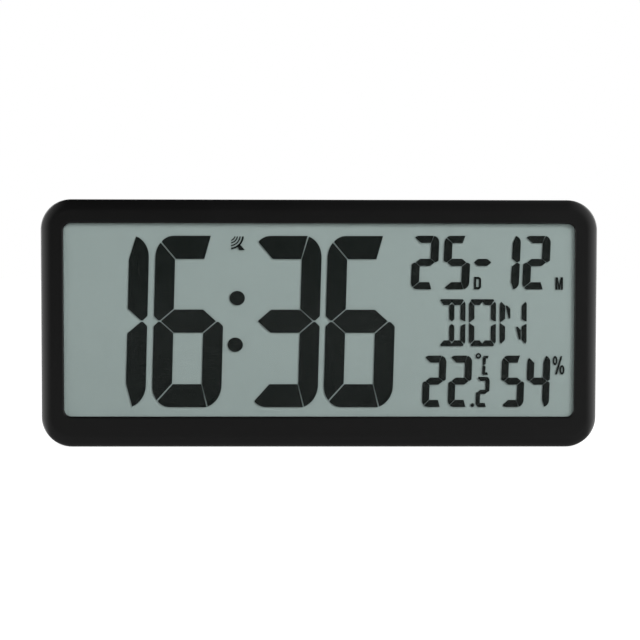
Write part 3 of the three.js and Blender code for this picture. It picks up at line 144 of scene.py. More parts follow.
# %% [markdown]
# ## Helpers for node trees
#
# Materials, geometry trees and the world are all node trees. One helper adds a node, whose kind is written
# without the name of its family. It sets the node's settings and fills its sockets. Another one does the
# same and returns one output of the node, called a tap here. Taps can be added, multiplied and so on like
# numbers, and each such sign becomes one Math node. A third helper starts a group with named inputs and
# outputs.

# %% Node helpers
SOCKETS = {"colour": "NodeSocketColor", "float": "NodeSocketFloat", "int": "NodeSocketInt",
           "vector": "NodeSocketVector", "geometry": "NodeSocketGeometry", "material": "NodeSocketMaterial"}
FAMILIES = ("ShaderNode", "GeometryNode", "FunctionNode")


class Tap:
    """One output of a node. In a formula, each sign adds one Math node."""

    def __init__(self, socket):
        self.socket, self.tree = socket, socket.id_data

    def math(self, operation, *values):
        return tap(self.tree, "Math", self, *values, operation=operation)


for sign, operation in (("add", "ADD"), ("sub", "SUBTRACT"), ("mul", "MULTIPLY"), ("truediv", "DIVIDE")):
    def forward(self, other, operation=operation):
        return self.math(operation, other)

    def backward(self, other, operation=operation):
        return tap(self.tree, "Math", other, self, operation=operation)

    setattr(Tap, f"__{sign}__", forward)
    setattr(Tap, f"__r{sign}__", backward)


def fill(socket, value):
    """Links a tap to a socket, or sets a plain value on it."""
    if isinstance(value, Tap):
        socket.id_data.links.new(value.socket, socket)
    else:
        socket.default_value = value


def feed(node, **values):
    """Fills a node's sockets by name, with _ for each space."""
    for name, value in values.items():
        fill(node.inputs[name.replace("_", " ")], value)


def add(tree, kind, *values, **named):
    """Adds a node. Names in small letters are its settings, and the rest goes into its sockets."""
    family = next(family for family in FAMILIES if hasattr(bpy.types, family + kind))
    made = tree.nodes.new(family + kind)
    for name in [name for name in named if name[0].islower()]:
        setattr(made, name, named.pop(name))
    for socket, value in zip(made.inputs, values):
        fill(socket, value)
    feed(made, **named)
    return made


def tap(tree, kind, *values, pick=0, **named):
    """Adds a node and returns one of its outputs."""
    return Tap(add(tree, kind, *values, **named).outputs[pick])


def new_group(name, kind, inputs, outputs):
    tree = bpy.data.node_groups.new(name, kind)
    for direction, sockets in (("INPUT", inputs), ("OUTPUT", outputs)):
        for label, socket_type in sockets.items():
            tree.interface.new_socket(label, in_out=direction, socket_type=SOCKETS[socket_type])
    given = {socket.name: Tap(socket) for socket in tree.nodes.new("NodeGroupInput").outputs}
    return tree, given, tree.nodes.new("NodeGroupOutput")


def new_material(name, colour, roughness, **sockets):
    material = bpy.data.materials.new(name)
    material.use_nodes = True
    shader = material.node_tree.nodes["Principled BSDF"]
    feed(shader, Base_Color=(*colour, 1), Roughness=roughness, **sockets)
    return material, shader


print("node helpers ready")

# %% [markdown]
# Some taps are needed again and again: the place of a point, its coordinates one by one, a ramp from one
# value to another, noise, and a mix of two colours. The world and the floor also ask by what kind of ray
# they are seen.

# %% Helpers for patterns
def object_place(tree):
    return tap(tree, "TexCoord", pick="Object")


def axes_of(vector):
    return [Tap(socket) for socket in add(vector.tree, "SeparateXYZ", vector).outputs]


def ramp(value, start, end, low=0.0, high=1.0):
    """Runs from low to high while the value runs from start to end, and is level outside."""
    return tap(value.tree, "MapRange", value, start, end, low, high)


def noise(place, scale, detail=2.0):
    return tap(place.tree, "TexNoise", Vector=place, Scale=scale, Detail=detail)


def mix(share, first, second):
    return tap(share.tree, "Mix", Factor=share, A=first, B=second, data_type="RGBA", pick="Result")


def ray_kinds(tree):
    """Rays straight from the camera, and rays that come by way of a mirror or through glass."""
    rays = add(tree, "LightPath").outputs
    seen, glossy, through = [Tap(rays[f"Is {kind} Ray"]) for kind in ("Camera", "Glossy", "Transmission")]
    return seen, glossy.math("MAXIMUM", through)


print("pattern helpers ready")

# %% [markdown]
# ## Floor, backdrop and light
#
# The photograph is a studio picture on pure white. Black plastic shows mostly what it mirrors, so the room
# is drawn from the case itself: its rims brighten evenly towards the left and the right edge, while its
# face, its top and its bottom stay dark. A world that is dim in front and above, and bright at both sides,
# gives just that.

# %% World
DIM_FRONT = 0.03
LEAST_GLOW = 0.01
SIDE_GLOW = 2.1
LEAN = 0.2
LEAN_REACH = 0.2
BEHIND_TURN = (0.5, 0.95)
LEVEL_TURN = (0.3, 0.05)

scene = bpy.context.scene
scene.view_settings.view_transform = "Standard"
scene.world = world = bpy.data.worlds.new("studio")
world.use_nodes = True
sky = world.node_tree
seen, mirrored = ray_kinds(sky)
x, y, z = axes_of(tap(sky, "TexCoord", pick="Generated"))
behind = ramp(y, *BEHIND_TURN) * ramp(z.math("ABSOLUTE"), *LEVEL_TURN)
white = seen.math("MAXIMUM", mirrored * behind)
room = x * x * SIDE_GLOW + DIM_FRONT + ramp(x, -LEAN_REACH, LEAN_REACH, -LEAN, LEAN)
feed(sky.nodes["Background"], Color=ramp(white, 0.0, 1.0, room.math("MAXIMUM", LEAST_GLOW), 1.0))
print("world", DIM_FRONT, "in front and", SIDE_GLOW, "at the sides")

# %% [markdown]
# What the camera sees of the floor and of the world is white by colour, and reflections see that white
# behind the clock. For all other rays the floor is grey paper, so it keeps the clock's own soft shadow.
# Beside the clock its reflection glows as the world does there, or the case's lower corners would mirror a
# dark floor. Close to the clock it glows a little too, because the photograph's lower bezel is lighter than
# its upper one.

# %% Floor
FLOOR_SIDE = 8.0
FLOOR_ALBEDO = 0.34
FLOOR_ROUGHNESS = 0.9
FLOOR_GLOW = 0.9
NEAR_GLOW = 0.24
NEAR_SIDE = 0.4
BEHIND_FROM = 0.5
NO_DIVISION_BY_ZERO = 1e-4

floor_mesh = bpy.data.meshes.new("floor")
half = FLOOR_SIDE / 2
corners = [(-half, -half, 0), (half, -half, 0), (half, half, 0), (-half, half, 0)]
floor_mesh.from_pydata(corners, [], [(0, 1, 2, 3)])
floor = bpy.data.objects.new("floor", floor_mesh)
scene.collection.objects.link(floor)
paper, shader = new_material("white_paper", [FLOOR_ALBEDO] * 3, FLOOR_ROUGHNESS, Specular_IOR_Level=0,
                             Emission_Color=(1, 1, 1, 1))
seen, mirrored = ray_kinds(paper.node_tree)
x, y, _ = axes_of(object_place(paper.node_tree))
beyond = (x.math("ABSOLUTE") - CASE.right * MM).math("MAXIMUM", 0.0)
across = beyond * beyond
beside = across / (y * y + (across + NO_DIVISION_BY_ZERO)) * SIDE_GLOW
behind = y.math("GREATER_THAN", BEHIND_FROM) * FLOOR_GLOW
near = ramp(y.math("ABSOLUTE"), 0.0, NEAR_SIDE, NEAR_GLOW, 0.0)
lit = beside.math("MAXIMUM", behind).math("MAXIMUM", near)
feed(shader, Emission_Strength=mirrored * lit + seen * FLOOR_GLOW)
floor_mesh.materials.append(paper)
print("floor", FLOOR_SIDE, "m wide")

# %% [markdown]
# A lamp is written as where it stands, its size and its brightness as seen. Blender asks for its power
# instead, which for an area lamp is brightness times area times pi. All lamps aim at the middle of the
# clock, and the camera doesn't see them. The key lamp at the upper right throws each segment's small shadow
# down to the left, and a wide lamp in front fills it. Neither is mirrored in the case, as the photograph
# shows no spot of light there.

# %% Lamps
AIM = Vector((0, 0, 0.08))


def lamp(name, azimuth, height, distance, width, tall, brightness, mirrored):
    """A soft area lamp. Azimuth 0 stands in front of the clock and 90 on its right."""
    light = bpy.data.lights.new(name, "AREA")
    light.shape = "RECTANGLE"
    light.size, light.size_y = width, tall
    light.energy = brightness * math.pi * width * tall
    holder = bpy.data.objects.new(name, light)
    turn = math.radians(azimuth)
    holder.location = (distance * math.sin(turn), -distance * math.cos(turn), height)
    holder.rotation_euler = (AIM - holder.location).to_track_quat("-Z", "Y").to_euler()
    holder.visible_camera = False
    holder.visible_glossy = mirrored
    scene.collection.objects.link(holder)


LAMPS = [
    ("key", 32, 1.7, 2.6, 0.9, 0.9, 11.0, False),
    ("face", 10, 0.5, 1.8, 2.4, 1.6, 2.1, False),
    ("left_back_softbox", -130, 0.3, 1.2, 0.35, 1.2, 2.0, True),
    ("right_back_softbox", 130, 0.3, 1.2, 0.35, 1.2, 2.0, True),
]
for row in LAMPS:
    lamp(*row)
print(len(LAMPS), "lamps")

# %% [markdown]
# ## Finishes
#
# Moulded plastic is never one flat colour. The mould's skin is spark-eroded to a fine grain, the gloss
# drifts in soft patches, and the colour with it. Metal has rolling marks along one direction. One group
# with named inputs makes both, and each material sets its own sizes. The group reads Object coordinates,
# which are metres in the clock's own frame, so a size input is simply a length.

# %% Shader groups
SKIN_INPUTS = {"Colour": "colour", "Stretch": "vector", **dict.fromkeys(
    ["Colour Spread", "Roughness", "Roughness Spread", "Patch Size", "Grain Size", "Grain Height"], "float")}
SKIN_OUTPUTS = {"Colour": "colour", "Roughness": "float", "Normal": "vector"}


def surface_skin():
    """Soft patches of tone and gloss, and a fine grain in relief."""
    tree, given, out = new_group("surface_skin", "ShaderNodeTree", SKIN_INPUTS, SKIN_OUTPUTS)
    place = tap(tree, "VectorMath", object_place(tree), given["Stretch"], operation="MULTIPLY")
    drift = noise(place, 1.0 / given["Patch Size"], 3.0) * 2.0 - 1.0
    grain = noise(place, 1.0 / given["Grain Size"])
    tone = drift * given["Colour Spread"] + 1.0
    feed(out, Colour=tap(tree, "VectorMath", given["Colour"], Scale=tone, operation="SCALE"),
         Roughness=drift * given["Roughness Spread"] + given["Roughness"],
         Normal=tap(tree, "Bump", Height=grain, Distance=given["Grain Height"]))
    return tree


SKIN = surface_skin()
print("shader groups:", [SKIN.name])

# %% [markdown]
# Every material keeps one Principled shader of its own, with its uniform values on its own sockets. The
# table below is the clock's bill of materials: the linear base colour, the roughness, the grain in
# micrometres and the rest.

# %% Materials from the table
UM = 1e-6
ROLLED = (0.05, 1, 1)


def skinned(name, colour, roughness, spread=0.08, rough_spread=0.05, patch=30.0, grain=350.0, height=8.0,
            stretch=(1, 1, 1), **sockets):
    """A material with the skin group on its colour, roughness and normal."""
    material, shader = new_material(name, colour, roughness, **sockets)
    skin = add(material.node_tree, "Group", node_tree=SKIN, Colour=(*colour, 1), Colour_Spread=spread,
               Roughness=roughness, Roughness_Spread=rough_spread, Patch_Size=patch * MM,
               Grain_Size=grain * UM, Grain_Height=height * UM, Stretch=stretch)
    colour, roughness, normal = [Tap(skin.outputs[name]) for name in SKIN_OUTPUTS]
    feed(shader, Base_Color=colour, Roughness=roughness, Normal=normal)
    return material


FINISHES = {name: skinned(name, colour, roughness, **values) for name, colour, roughness, values in (
    ("black_plastic", (0.0024, 0.0024, 0.0024), 0.32, dict(Specular_IOR_Level=0.3)),
    ("rear_plastic", (0.011, 0.011, 0.0115), 0.5, dict(height=14, Specular_IOR_Level=0.35)),
    ("button_plastic", (0.02, 0.02, 0.021), 0.42, dict(height=4, Specular_IOR_Level=0.4)),
    ("tray_plastic", (0.62, 0.62, 0.59), 0.5, dict(spread=0.04)),
    ("dark_epoxy", (0.01, 0.01, 0.011), 0.3, dict(spread=0.2, patch=4, height=2)),
    ("rubber", (0.018, 0.018, 0.019), 0.75, dict(rough_spread=0.1, patch=6, grain=200, height=14)),
    ("steel", (0.55, 0.55, 0.56), 0.32, dict(patch=5, grain=150, height=3, stretch=ROLLED, Metallic=1)),
    ("ferrite", (0.035, 0.035, 0.04), 0.6, dict(spread=0.25, patch=3, grain=250, height=20)),
    ("copper_wire", (0.45, 0.13, 0.04), 0.35, dict(spread=0.2, patch=2, height=1, Metallic=1)),
    ("red_wire", (0.35, 0.012, 0.01), 0.45, dict(spread=0.1, patch=5)),
    ("black_wire", (0.01, 0.01, 0.01), 0.45, dict(spread=0.1, patch=5)),
    ("grey_cable", (0.24, 0.25, 0.26), 0.5, dict(spread=0.1, patch=5)),
    ("cell_glass", (0.303, 0.369, 0.355), 0.6, dict(
        spread=0.015, patch=40, grain=120, height=2, Specular_IOR_Level=0.1)),
    ("reflector_film", (0.27, 0.33, 0.31), 0.45, dict(spread=0.05, patch=20, height=3)),
    ("segment_dye", (0.0070, 0.0096, 0.0086), 0.5, dict(
        spread=0.05, patch=25, height=1, Specular_IOR_Level=0.1)),
)}
print(len(FINISHES), "finishes from the table")

# %% [markdown]
# Three finishes need a pattern of their own. The circuit boards have copper tracks under green lacquer,
# which a brick pattern draws well: its mortar runs in straight lines that turn at right angles. The sounder
# is a brass disc with a round white ceramic in its middle, so its colour follows the distance from its
# centre. The cells' wrap has a dark body and a bright band towards the positive end, read from the cell's
# own UV map.

# %% Boards, sounder and cell wrap
TRACK_PITCH = 2.6
TRACK_WIDTH = 0.32
PAD_PITCH = 5.5
PAD_SHARE = 0.11
CERAMIC_RADIUS = 10.0
WRAP_BAND = (0.74, 0.742)
PAD_COLOUR = (0.6, 0.6, 0.58, 1)


def board_finish():
    material, shader = new_material("circuit_board", (0.012, 0.09, 0.035), 0.42)
    tree = material.node_tree
    x, _, z = axes_of(object_place(tree))
    flat = tap(tree, "CombineXYZ", X=x, Y=z)
    tracks, groove = [Tap(socket) for socket in add(
        tree, "TexBrick", Vector=flat, Scale=1.0, Mortar_Size=TRACK_WIDTH * MM / 2, Mortar_Smooth=0.1,
        Brick_Width=4 * TRACK_PITCH * MM, Row_Height=TRACK_PITCH * MM, Color1=(0.008, 0.075, 0.028, 1),
        Color2=(0.012, 0.09, 0.034, 1), Mortar=(0.03, 0.2, 0.07, 1), offset=0.37).outputs]
    pads = tap(tree, "TexVoronoi", Vector=flat, Scale=1 / (PAD_PITCH * MM), Randomness=0.7,
               voronoi_dimensions="2D").math("LESS_THAN", PAD_SHARE)
    feed(shader, Base_Color=mix(pads, tracks, PAD_COLOUR), Metallic=pads,
         Normal=tap(tree, "Bump", Height=groove, Distance=30 * UM))
    return material


def sounder_finish():
    material, shader = new_material("brass", (0.62, 0.42, 0.13), 0.35)
    place = object_place(material.node_tree)
    metal = tap(place.tree, "VectorMath", place, middle_of("sounder_disc") * MM, operation="DISTANCE",
                pick="Value").math("GREATER_THAN", CERAMIC_RADIUS * MM)
    brass = mix(noise(place, 900.0, 4.0), (0.5, 0.33, 0.1, 1), (0.72, 0.5, 0.17, 1))
    feed(shader, Base_Color=mix(metal, (0.7, 0.69, 0.64, 1), brass), Metallic=metal)
    return material


def wrap_finish():
    material, shader = new_material("battery_wrap", (0.03, 0.1, 0.2), 0.28, Metallic=0.6, Coat_Weight=0.4)
    tree = material.node_tree
    dark = mix(noise(object_place(tree), 60.0), (0.02, 0.07, 0.15, 1), (0.035, 0.12, 0.24, 1))
    band = ramp(axes_of(tap(tree, "UVMap"))[1], *WRAP_BAND)
    feed(shader, Base_Color=mix(band, dark, (0.62, 0.6, 0.56, 1)))
    return material


FINISHES.update(circuit_board=board_finish(), brass=sounder_finish(), battery_wrap=wrap_finish())
print("patterned finishes:", "circuit_board, brass, battery_wrap")

# %% [markdown]
# ## Clear layers and the display's ground
#
# The window is a thin clear sheet that shows a little of the room. A sheet like that is a mirror whose
# strength is the Fresnel share, and clear for the rest, so one Principled shader can make it: a mirror with
# that share as its Alpha. It doesn't bend light, and that keeps the lamps' light on the display free of
# noise. Each clear surface that a ray crosses uses up one of the renderer's eight transparent steps, on the
# way in and again on the way to a lamp, and one more must be left over. So only three clear surfaces may
# lie over the display's ground. The film and glass in front of the crystal are glued together on the real
# one, and they are one clear piece here, which ends just inside the rear glass.
#
# What looks grey-green behind the segments is the reflector film. Its colour is drawn on the rear glass,
# where the light turns back.

# %% Clear layers
WINDOW_INDEX = 1.14
WINDOW_GLOSS = (0.04, 0.1)
FILM_ALPHA = 0.02


def window_finish():
    material, shader = new_material("clear_cover", (1, 1, 1), 0.06, Metallic=1)
    tree = material.node_tree
    smears = noise(object_place(tree), 25.0, 4.0)
    feed(shader, Alpha=tap(tree, "Fresnel", IOR=WINDOW_INDEX),
         Roughness=ramp(smears, 0.0, 1.0, *WINDOW_GLOSS))
    return material


FINISHES["clear_cover"] = window_finish()
FINISHES["front_film"], _ = new_material("front_film", (0.02, 0.025, 0.022), 0.35, Alpha=FILM_ALPHA)
print("clear layers ready")

# %% [markdown]
# ## Shapes from outlines
#
# Nearly every piece of a moulded case is an outline that changes a little with depth: a wall, a rounded
# edge, a pocket with a soft lip. So an outline here is a function. It takes how far it is grown, in
# millimetres, and returns its points, anticlockwise as seen from the front. Stacking grown copies at
# different depths and joining them gives a closed skin, called a loft. Growing along a quarter circle gives
# a true rounded edge, which a bevel afterwards could not give so surely.

# %% Outlines
CORNER_STEPS = 20
ROUND_SIDES = 48
LEAST_RADIUS = 0.05


def rounded(rect, radius, steps=CORNER_STEPS):
    """Round corners of one radius, or of a list that goes from the bottom right round to the bottom left."""
    radii = radius if isinstance(radius, list) else [radius] * 4

    def outline(growth=0.0):
        grown = grow(rect, growth)
        points = []
        for quarter, base in enumerate(radii):
            r = max(base + growth, LEAST_RADIUS)
            x = grown.right - r if quarter in (0, 1) else grown.left + r
            z = grown.top - r if quarter in (1, 2) else grown.bottom + r
            for step in range(steps + 1):
                angle = math.radians(90 * (quarter - 1 + step / steps))
                points.append((x + r * math.cos(angle), z + r * math.sin(angle)))
        return points

    return outline


def square(rect):
    def outline(growth=0.0):
        left, right, bottom, top = grow(rect, growth)
        return [(right, bottom), (right, top), (left, top), (left, bottom)]

    return outline


def circle(at, radius, sides=ROUND_SIDES, tall=None):
    def outline(growth=0.0):
        return [(at[0] + (radius + growth) * math.cos(2 * math.pi * side / sides),
                 at[1] + ((tall or radius) + growth) * math.sin(2 * math.pi * side / sides))
                for side in range(sides)]

    return outline


print("outline of a 10 mm square with 2 mm corners has", len(rounded(rect_at(0, 0, 10, 10), 2)()), "points")

# %% [markdown]
# The loft is the one place where a mesh is built. A front cap and a back cap close it. A solid body gets
# its edges rounded outwards; a well, which is a cutting tool, gets a lip that flares where it leaves the
# surface, so the pocket that it cuts has a soft edge.

# %% Solids from outlines
EDGE_STEPS = 4
OVERCUT = 1.0


def mesh_object(name, points, faces):
    mesh = bpy.data.meshes.new(name)
    mesh.from_pydata([Vector(point) * MM for point in points], [], faces)
    made = bpy.data.objects.new(name, mesh)
    scene.collection.objects.link(made)
    return made


def loft_data(rings):
    """Points and faces of a closed skin over rings that lie one behind another."""
    count = len(rings[0])
    points = [point for each in rings for point in each]
    faces = [[*range(count)], [*range(len(points) - 1, len(points) - count - 1, -1)]]
    for start in range(0, len(points) - count, count):
        for i in range(count):
            a, b = start + i, start + (i + 1) % count
            faces.append((a, a + count, b + count, b))
    return points, faces


def loft(*rings):
    return mesh_object("loft", *loft_data(rings))


def at_depth(points, y):
    return [(x, y, z) for x, z in points]


def quarter_turn(steps=EDGE_STEPS):
    return [math.radians(90 * step / steps) for step in range(steps + 1)]


def body(outline, front, back, front_edge=0.0, back_edge=0.0):
    """A solid over an outline or a rectangle. Its edges may be rounded outwards."""
    outline = square(outline) if isinstance(outline, Rect) else outline
    rings = []
    for edge, face, inward in ((front_edge, front, 1), (back_edge, back, -1)):
        side = [at_depth(outline(edge * (math.sin(turn) - 1)), face + inward * edge * (1 - math.cos(turn)))
                for turn in (quarter_turn() if edge else [math.pi / 2])]
        rings += side[::inward]
    return loft(*rings)


def well(outline, floor, mouth, lip=0.3, foot=0.0):
    """A cutting tool for a pocket, with a lip at its mouth and a rounded foot."""
    rings = [at_depth(outline(foot * (math.sin(turn) - 1)), floor + foot * (1 - math.cos(turn)))
             for turn in (quarter_turn() if foot else [math.pi / 2])]
    for turn in quarter_turn():
        rings.append(at_depth(outline(lip * (1 - math.cos(turn))), mouth - lip * (1 - math.sin(turn))))
    return loft(*rings, at_depth(outline(lip), mouth + OVERCUT))


def disc(at, radius, front, back, sides=ROUND_SIDES):
    return body(circle(at, radius, sides), front, back)


def turned_across(profile, y, z, sides=ROUND_SIDES):
    """A round shape about a line across the clock, from a profile of place and radius, right to left."""
    return loft(*[[(x, *point) for point in circle((y, z), radius, sides)()] for x, radius in profile])


def bar(radius, left, right, y, z):
    return turned_across([(right, radius), (left, radius)], y, z)


print("solids from outlines ready")

# %% [markdown]
# ## Joining and cutting
#
# A cover's bosses, pockets and slots are easier to add to a shell and to cut from it than to draw as one
# surface. Blender's Boolean modifier does that exactly when all shapes are closed. The tools are removed
# once they are used. A finished piece gets smooth shading up to an angle, with larger faces leading, so
# that flat faces stay flat next to their rounded edges.

# %% Boolean and finishing helpers
SMOOTH_ANGLE = math.radians(32)


def apply_modifiers(made):
    depsgraph = bpy.context.evaluated_depsgraph_get()
    result = bpy.data.meshes.new_from_object(made.evaluated_get(depsgraph))
    made.modifiers.clear()
    old, made.data = made.data, result
    bpy.data.meshes.remove(old)
    return made


def discard(*tools):
    for tool in tools:
        mesh = tool.data
        bpy.data.objects.remove(tool)
        bpy.data.meshes.remove(mesh)


def carve(whole, added=(), removed=()):
    for operation, tools in (("UNION", added), ("DIFFERENCE", removed)):
        for tool in tools:
            step = whole.modifiers.new(operation, "BOOLEAN")
            step.operation, step.solver, step.object = operation, "MANIFOLD", tool
    apply_modifiers(whole)
    discard(*added, *removed)
    return whole


def edit_mesh(made, change):
    """Runs a change on an object's mesh."""
    mesh = bmesh.new()
    mesh.from_mesh(made.data)
    change(mesh)
    mesh.to_mesh(made.data)
    mesh.free()
    return made


def soften(mesh):
    for face in mesh.faces:
        face.smooth = True
    for edge in mesh.edges:
        edge.smooth = len(edge.link_faces) == 2 and edge.calc_face_angle() < SMOOTH_ANGLE


def piece(made, name, rides, finish, *nodes, slot=None):
    """Names a finished mesh, gives it its finish, and puts it on its body in place of its CAD nodes."""
    edit_mesh(made, soften).modifiers.new("weighted", "WEIGHTED_NORMAL").keep_sharp = True
    apply_modifiers(made)
    made.name = made.data.name = name
    made.data.materials.clear()
    made.data.materials.append(FINISHES[finish])
    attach(made, rides)
    if nodes:
        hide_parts(*nodes)
    triangles = sum(len(polygon.vertices) - 2 for polygon in made.data.polygons)
    print(f"{name}: {triangles} triangles on {rides}")


print("boolean and finishing helpers ready")

# %% [markdown]
# ## Front housing
#
# The housing is one moulding: a flat face with the window's opening, an edge that rounds over in a quarter
# ellipse, and the side walls. The photograph shows that rounding as a band that brightens towards the left
# and right rims, so it has fine steps here. The inside follows it at the wall's thickness, with a rebate
# for the cover's lip, a low ridge that centres the window, and posts for the screws.

# %% Sizes that the housing and the cover share
CASE_CORNER = 20.0
WALL = 2.4
FACE_THICK = 1.6
BACK_THICK = 2.2
FRONT_ROUND_IN = 7.5
FRONT_ROUND_DEEP = 6.0
BACK_ROUND = 4.0
LIP_LENGTH = 2.2
LIP_THICK = 1.0
GAP = 0.3
FUSE = 0.2
RIM_EDGE = 0.35
WINDOW_CORNER = 5.0
WINDOW_BEVEL = 1.2
LENS_LAP = 3.0
LENS_RIDGE = 1.2
ROUND_STEPS = 14
FACE_BACK = FRONT + FACE_THICK
BACK_INNER = BACK - BACK_THICK
LENS = rect_of("display_window")
WINDOW = grow(LENS, -LENS_LAP)
TRAY_FRONT = back_of("lcd_reflector") + GAP


def case_ring(inset, y):
    return at_depth(rounded(CASE, CASE_CORNER)(-inset), y)


def rounded_rings(inside, outside, face_y, side_y, steps=ROUND_STEPS):
    """A quarter ellipse in section, from the flat of a face out to the side wall."""
    return [case_ring(inside - (inside - outside) * math.sin(turn),
                      side_y - (side_y - face_y) * math.cos(turn)) for turn in quarter_turn(steps)]


print(f"window {WINDOW.width:.1f} x {WINDOW.height:.1f} mm")

# %% Screw places, read from the frame
COVER_SCREWS = [f"cover_screw_{number}" for number in range(1, 6)]
TRAY_SCREWS = [f"tray_screw_{number}" for number in range(1, 5)]
BOARD_SCREWS = [f"board_screw_{number}" for number in range(1, 3)]
COVER_POST_RADIUS = 3.5
TRAY_POST_RADIUS = 3.0
COVER_SHANK_RADIUS = 1.4
SMALL_SHANK_RADIUS = 1.0
PILOT_SIDES = 24
COVER_WELL_DEPTH = 7.0
RIB_THICK = 1.2


def places(nodes):
    return [(middle_of(node).x, middle_of(node).z) for node in nodes]


def pilots(nodes, shank, front):
    return [disc(at, shank + GAP, front, BACK, PILOT_SIDES) for at in places(nodes)]


print("screws at", [(round(x), round(z)) for x, z in places(COVER_SCREWS)])

# %% Build the front housing
def housing_posts(nodes, radius, end):
    """Posts behind the face, each with the rib that ties it to the wall beside it."""
    made = []
    for x, z in places(nodes):
        wall = CASE.top - WALL + FUSE if z > CASE.top / 2 else CASE.bottom + WALL - FUSE
        rib = strip(x, RIB_THICK, min(z, wall), max(z, wall))
        made += [disc((x, z), radius, FACE_BACK - FUSE, end),
                 body(rib, FRONT + FRONT_ROUND_DEEP / 2, TRAY_FRONT - OVERCUT)]
    return made


def window_opening():
    """A well that opens to the front: its lip flares where it leaves the face."""
    outline, bevel = rounded(WINDOW, WINDOW_CORNER), WINDOW_BEVEL
    flare = [at_depth(outline(bevel * (1 - math.sin(turn))), FRONT + bevel * (1 - math.cos(turn)))
             for turn in quarter_turn(6)]
    return loft(at_depth(outline(bevel), FRONT - OVERCUT), *flare, at_depth(outline(), FACE_BACK + OVERCUT))


def window_ridge():
    front, back = FACE_BACK - FUSE, back_of("display_window") - GAP
    return carve(body(rounded(grow(LENS, GAP + LENS_RIDGE), WINDOW_CORNER), front, back),
                 removed=[body(grow(LENS, GAP), front - OVERCUT, back + OVERCUT)])


def front_housing():
    round_end = FRONT + FRONT_ROUND_DEEP
    outside = rounded_rings(FRONT_ROUND_IN, 0, FRONT, round_end)
    outside += [case_ring(0, PARTING - RIM_EDGE), case_ring(RIM_EDGE, PARTING)]
    inside = rounded_rings(FRONT_ROUND_IN, WALL, FACE_BACK, round_end) + [case_ring(WALL, PARTING + OVERCUT)]
    rebate = [case_ring(WALL - LIP_THICK - GAP, y) for y in (PARTING - LIP_LENGTH, PARTING + OVERCUT)]
    shell = carve(loft(*outside), removed=[loft(*inside), loft(*rebate), window_opening()])
    added = [window_ridge(), *housing_posts(COVER_SCREWS, COVER_POST_RADIUS, BACK - COVER_WELL_DEPTH - GAP),
             *housing_posts(TRAY_SCREWS, TRAY_POST_RADIUS, TRAY_FRONT - GAP)]
    holes = pilots(COVER_SCREWS, COVER_SHANK_RADIUS, front_of(COVER_SCREWS[0]) - OVERCUT)
    holes += pilots(TRAY_SCREWS, SMALL_SHANK_RADIUS, front_of(TRAY_SCREWS[0]))
    return carve(carve(shell, added=added), removed=holes)


piece(front_housing(), "housing", "case", "black_plastic", "front_housing")

# %% [markdown]
# ## Window and crystal cell
#
# The window is a clear acrylic sheet behind the opening. Behind it stands the crystal cell: a polarising
# film on the front glass, the segments between the two glasses, and the rear glass with the reflector. Only
# the film and front glass are remade, as the one clear piece that the lesson on clear layers explains.

# %% Window and front glass
WINDOW_EDGE = 0.15
BONDED = 0.05
GROUND = front_of("lcd_rear_glass")

window = body(rounded(LENS, WINDOW_CORNER / 2), front_of("display_window"), back_of("display_window"),
              WINDOW_EDGE, WINDOW_EDGE)
piece(window, "window_sheet", "case", "clear_cover", "display_window")
front_plate = body(rect_of("lcd_front_glass"), front_of("lcd_front_polariser"), GROUND + BONDED)
piece(front_plate, "front_plate", "case", "front_film", "lcd_front_polariser", "lcd_front_glass")

# %% [markdown]
# ## The signs on the display
#
# Every digit is the same seven segments with some left out, so one function draws a segment for any digit
# size. It was fitted to the photograph: rounded outer corners, slits that run out from the inner corners, a
# middle bar with pointed ends, and a slight lean. Drawing only the upper half is enough, as the lower half
# mirrors it.

# %% Seven-segment digits
Digit = namedtuple("Digit", "bottom width height upright bar corner tip slit lean")
TIME = Digit(26.45, 45.6, 112.8, 13.0, 15.2, (11.8, 14.3), 4.1, 0.85, 0.027)
DATE = Digit(104.3, 17.5, 35.2, 5.3, 4.75, (4.2, 4.6), 2.15, 0.36, 0.0385)
CLIMATE = Digit(26.6, 15.2, 34.0, 4.6, 4.65, (4.1, 4.5), 1.65, 0.3, 0.029)
TENTHS = Digit(26.55, 8.8, 20.0, 2.75, 2.75, (2.4, 3.0), 1.2, 0.07, 0.029)
DEGREES = Digit(47.85, 5.2, 12.6, 2.0, 1.75, (0.9, 1.1), 1.0, 0.06, 0.04)
SEGMENTS_OF = {"1": "bc", "2": "abged", "3": "abgcd", "4": "fgbc", "5": "afgcd", "6": "afgedc", "C": "afed"}
LOWER_TO_UPPER = {"e": "f", "c": "b", "d": "a"}
SLIT_REACH = 0.3
SLIT_SPARE = 1.2
MIDDLE_LIFT = 0.003


def arc(x, z, across, up, start, end, steps=8):
    turns = [math.radians(start + (end - start) * step / steps) for step in range(steps + 1)]
    return [(x + across * math.cos(turn), z + up * math.sin(turn)) for turn in turns]


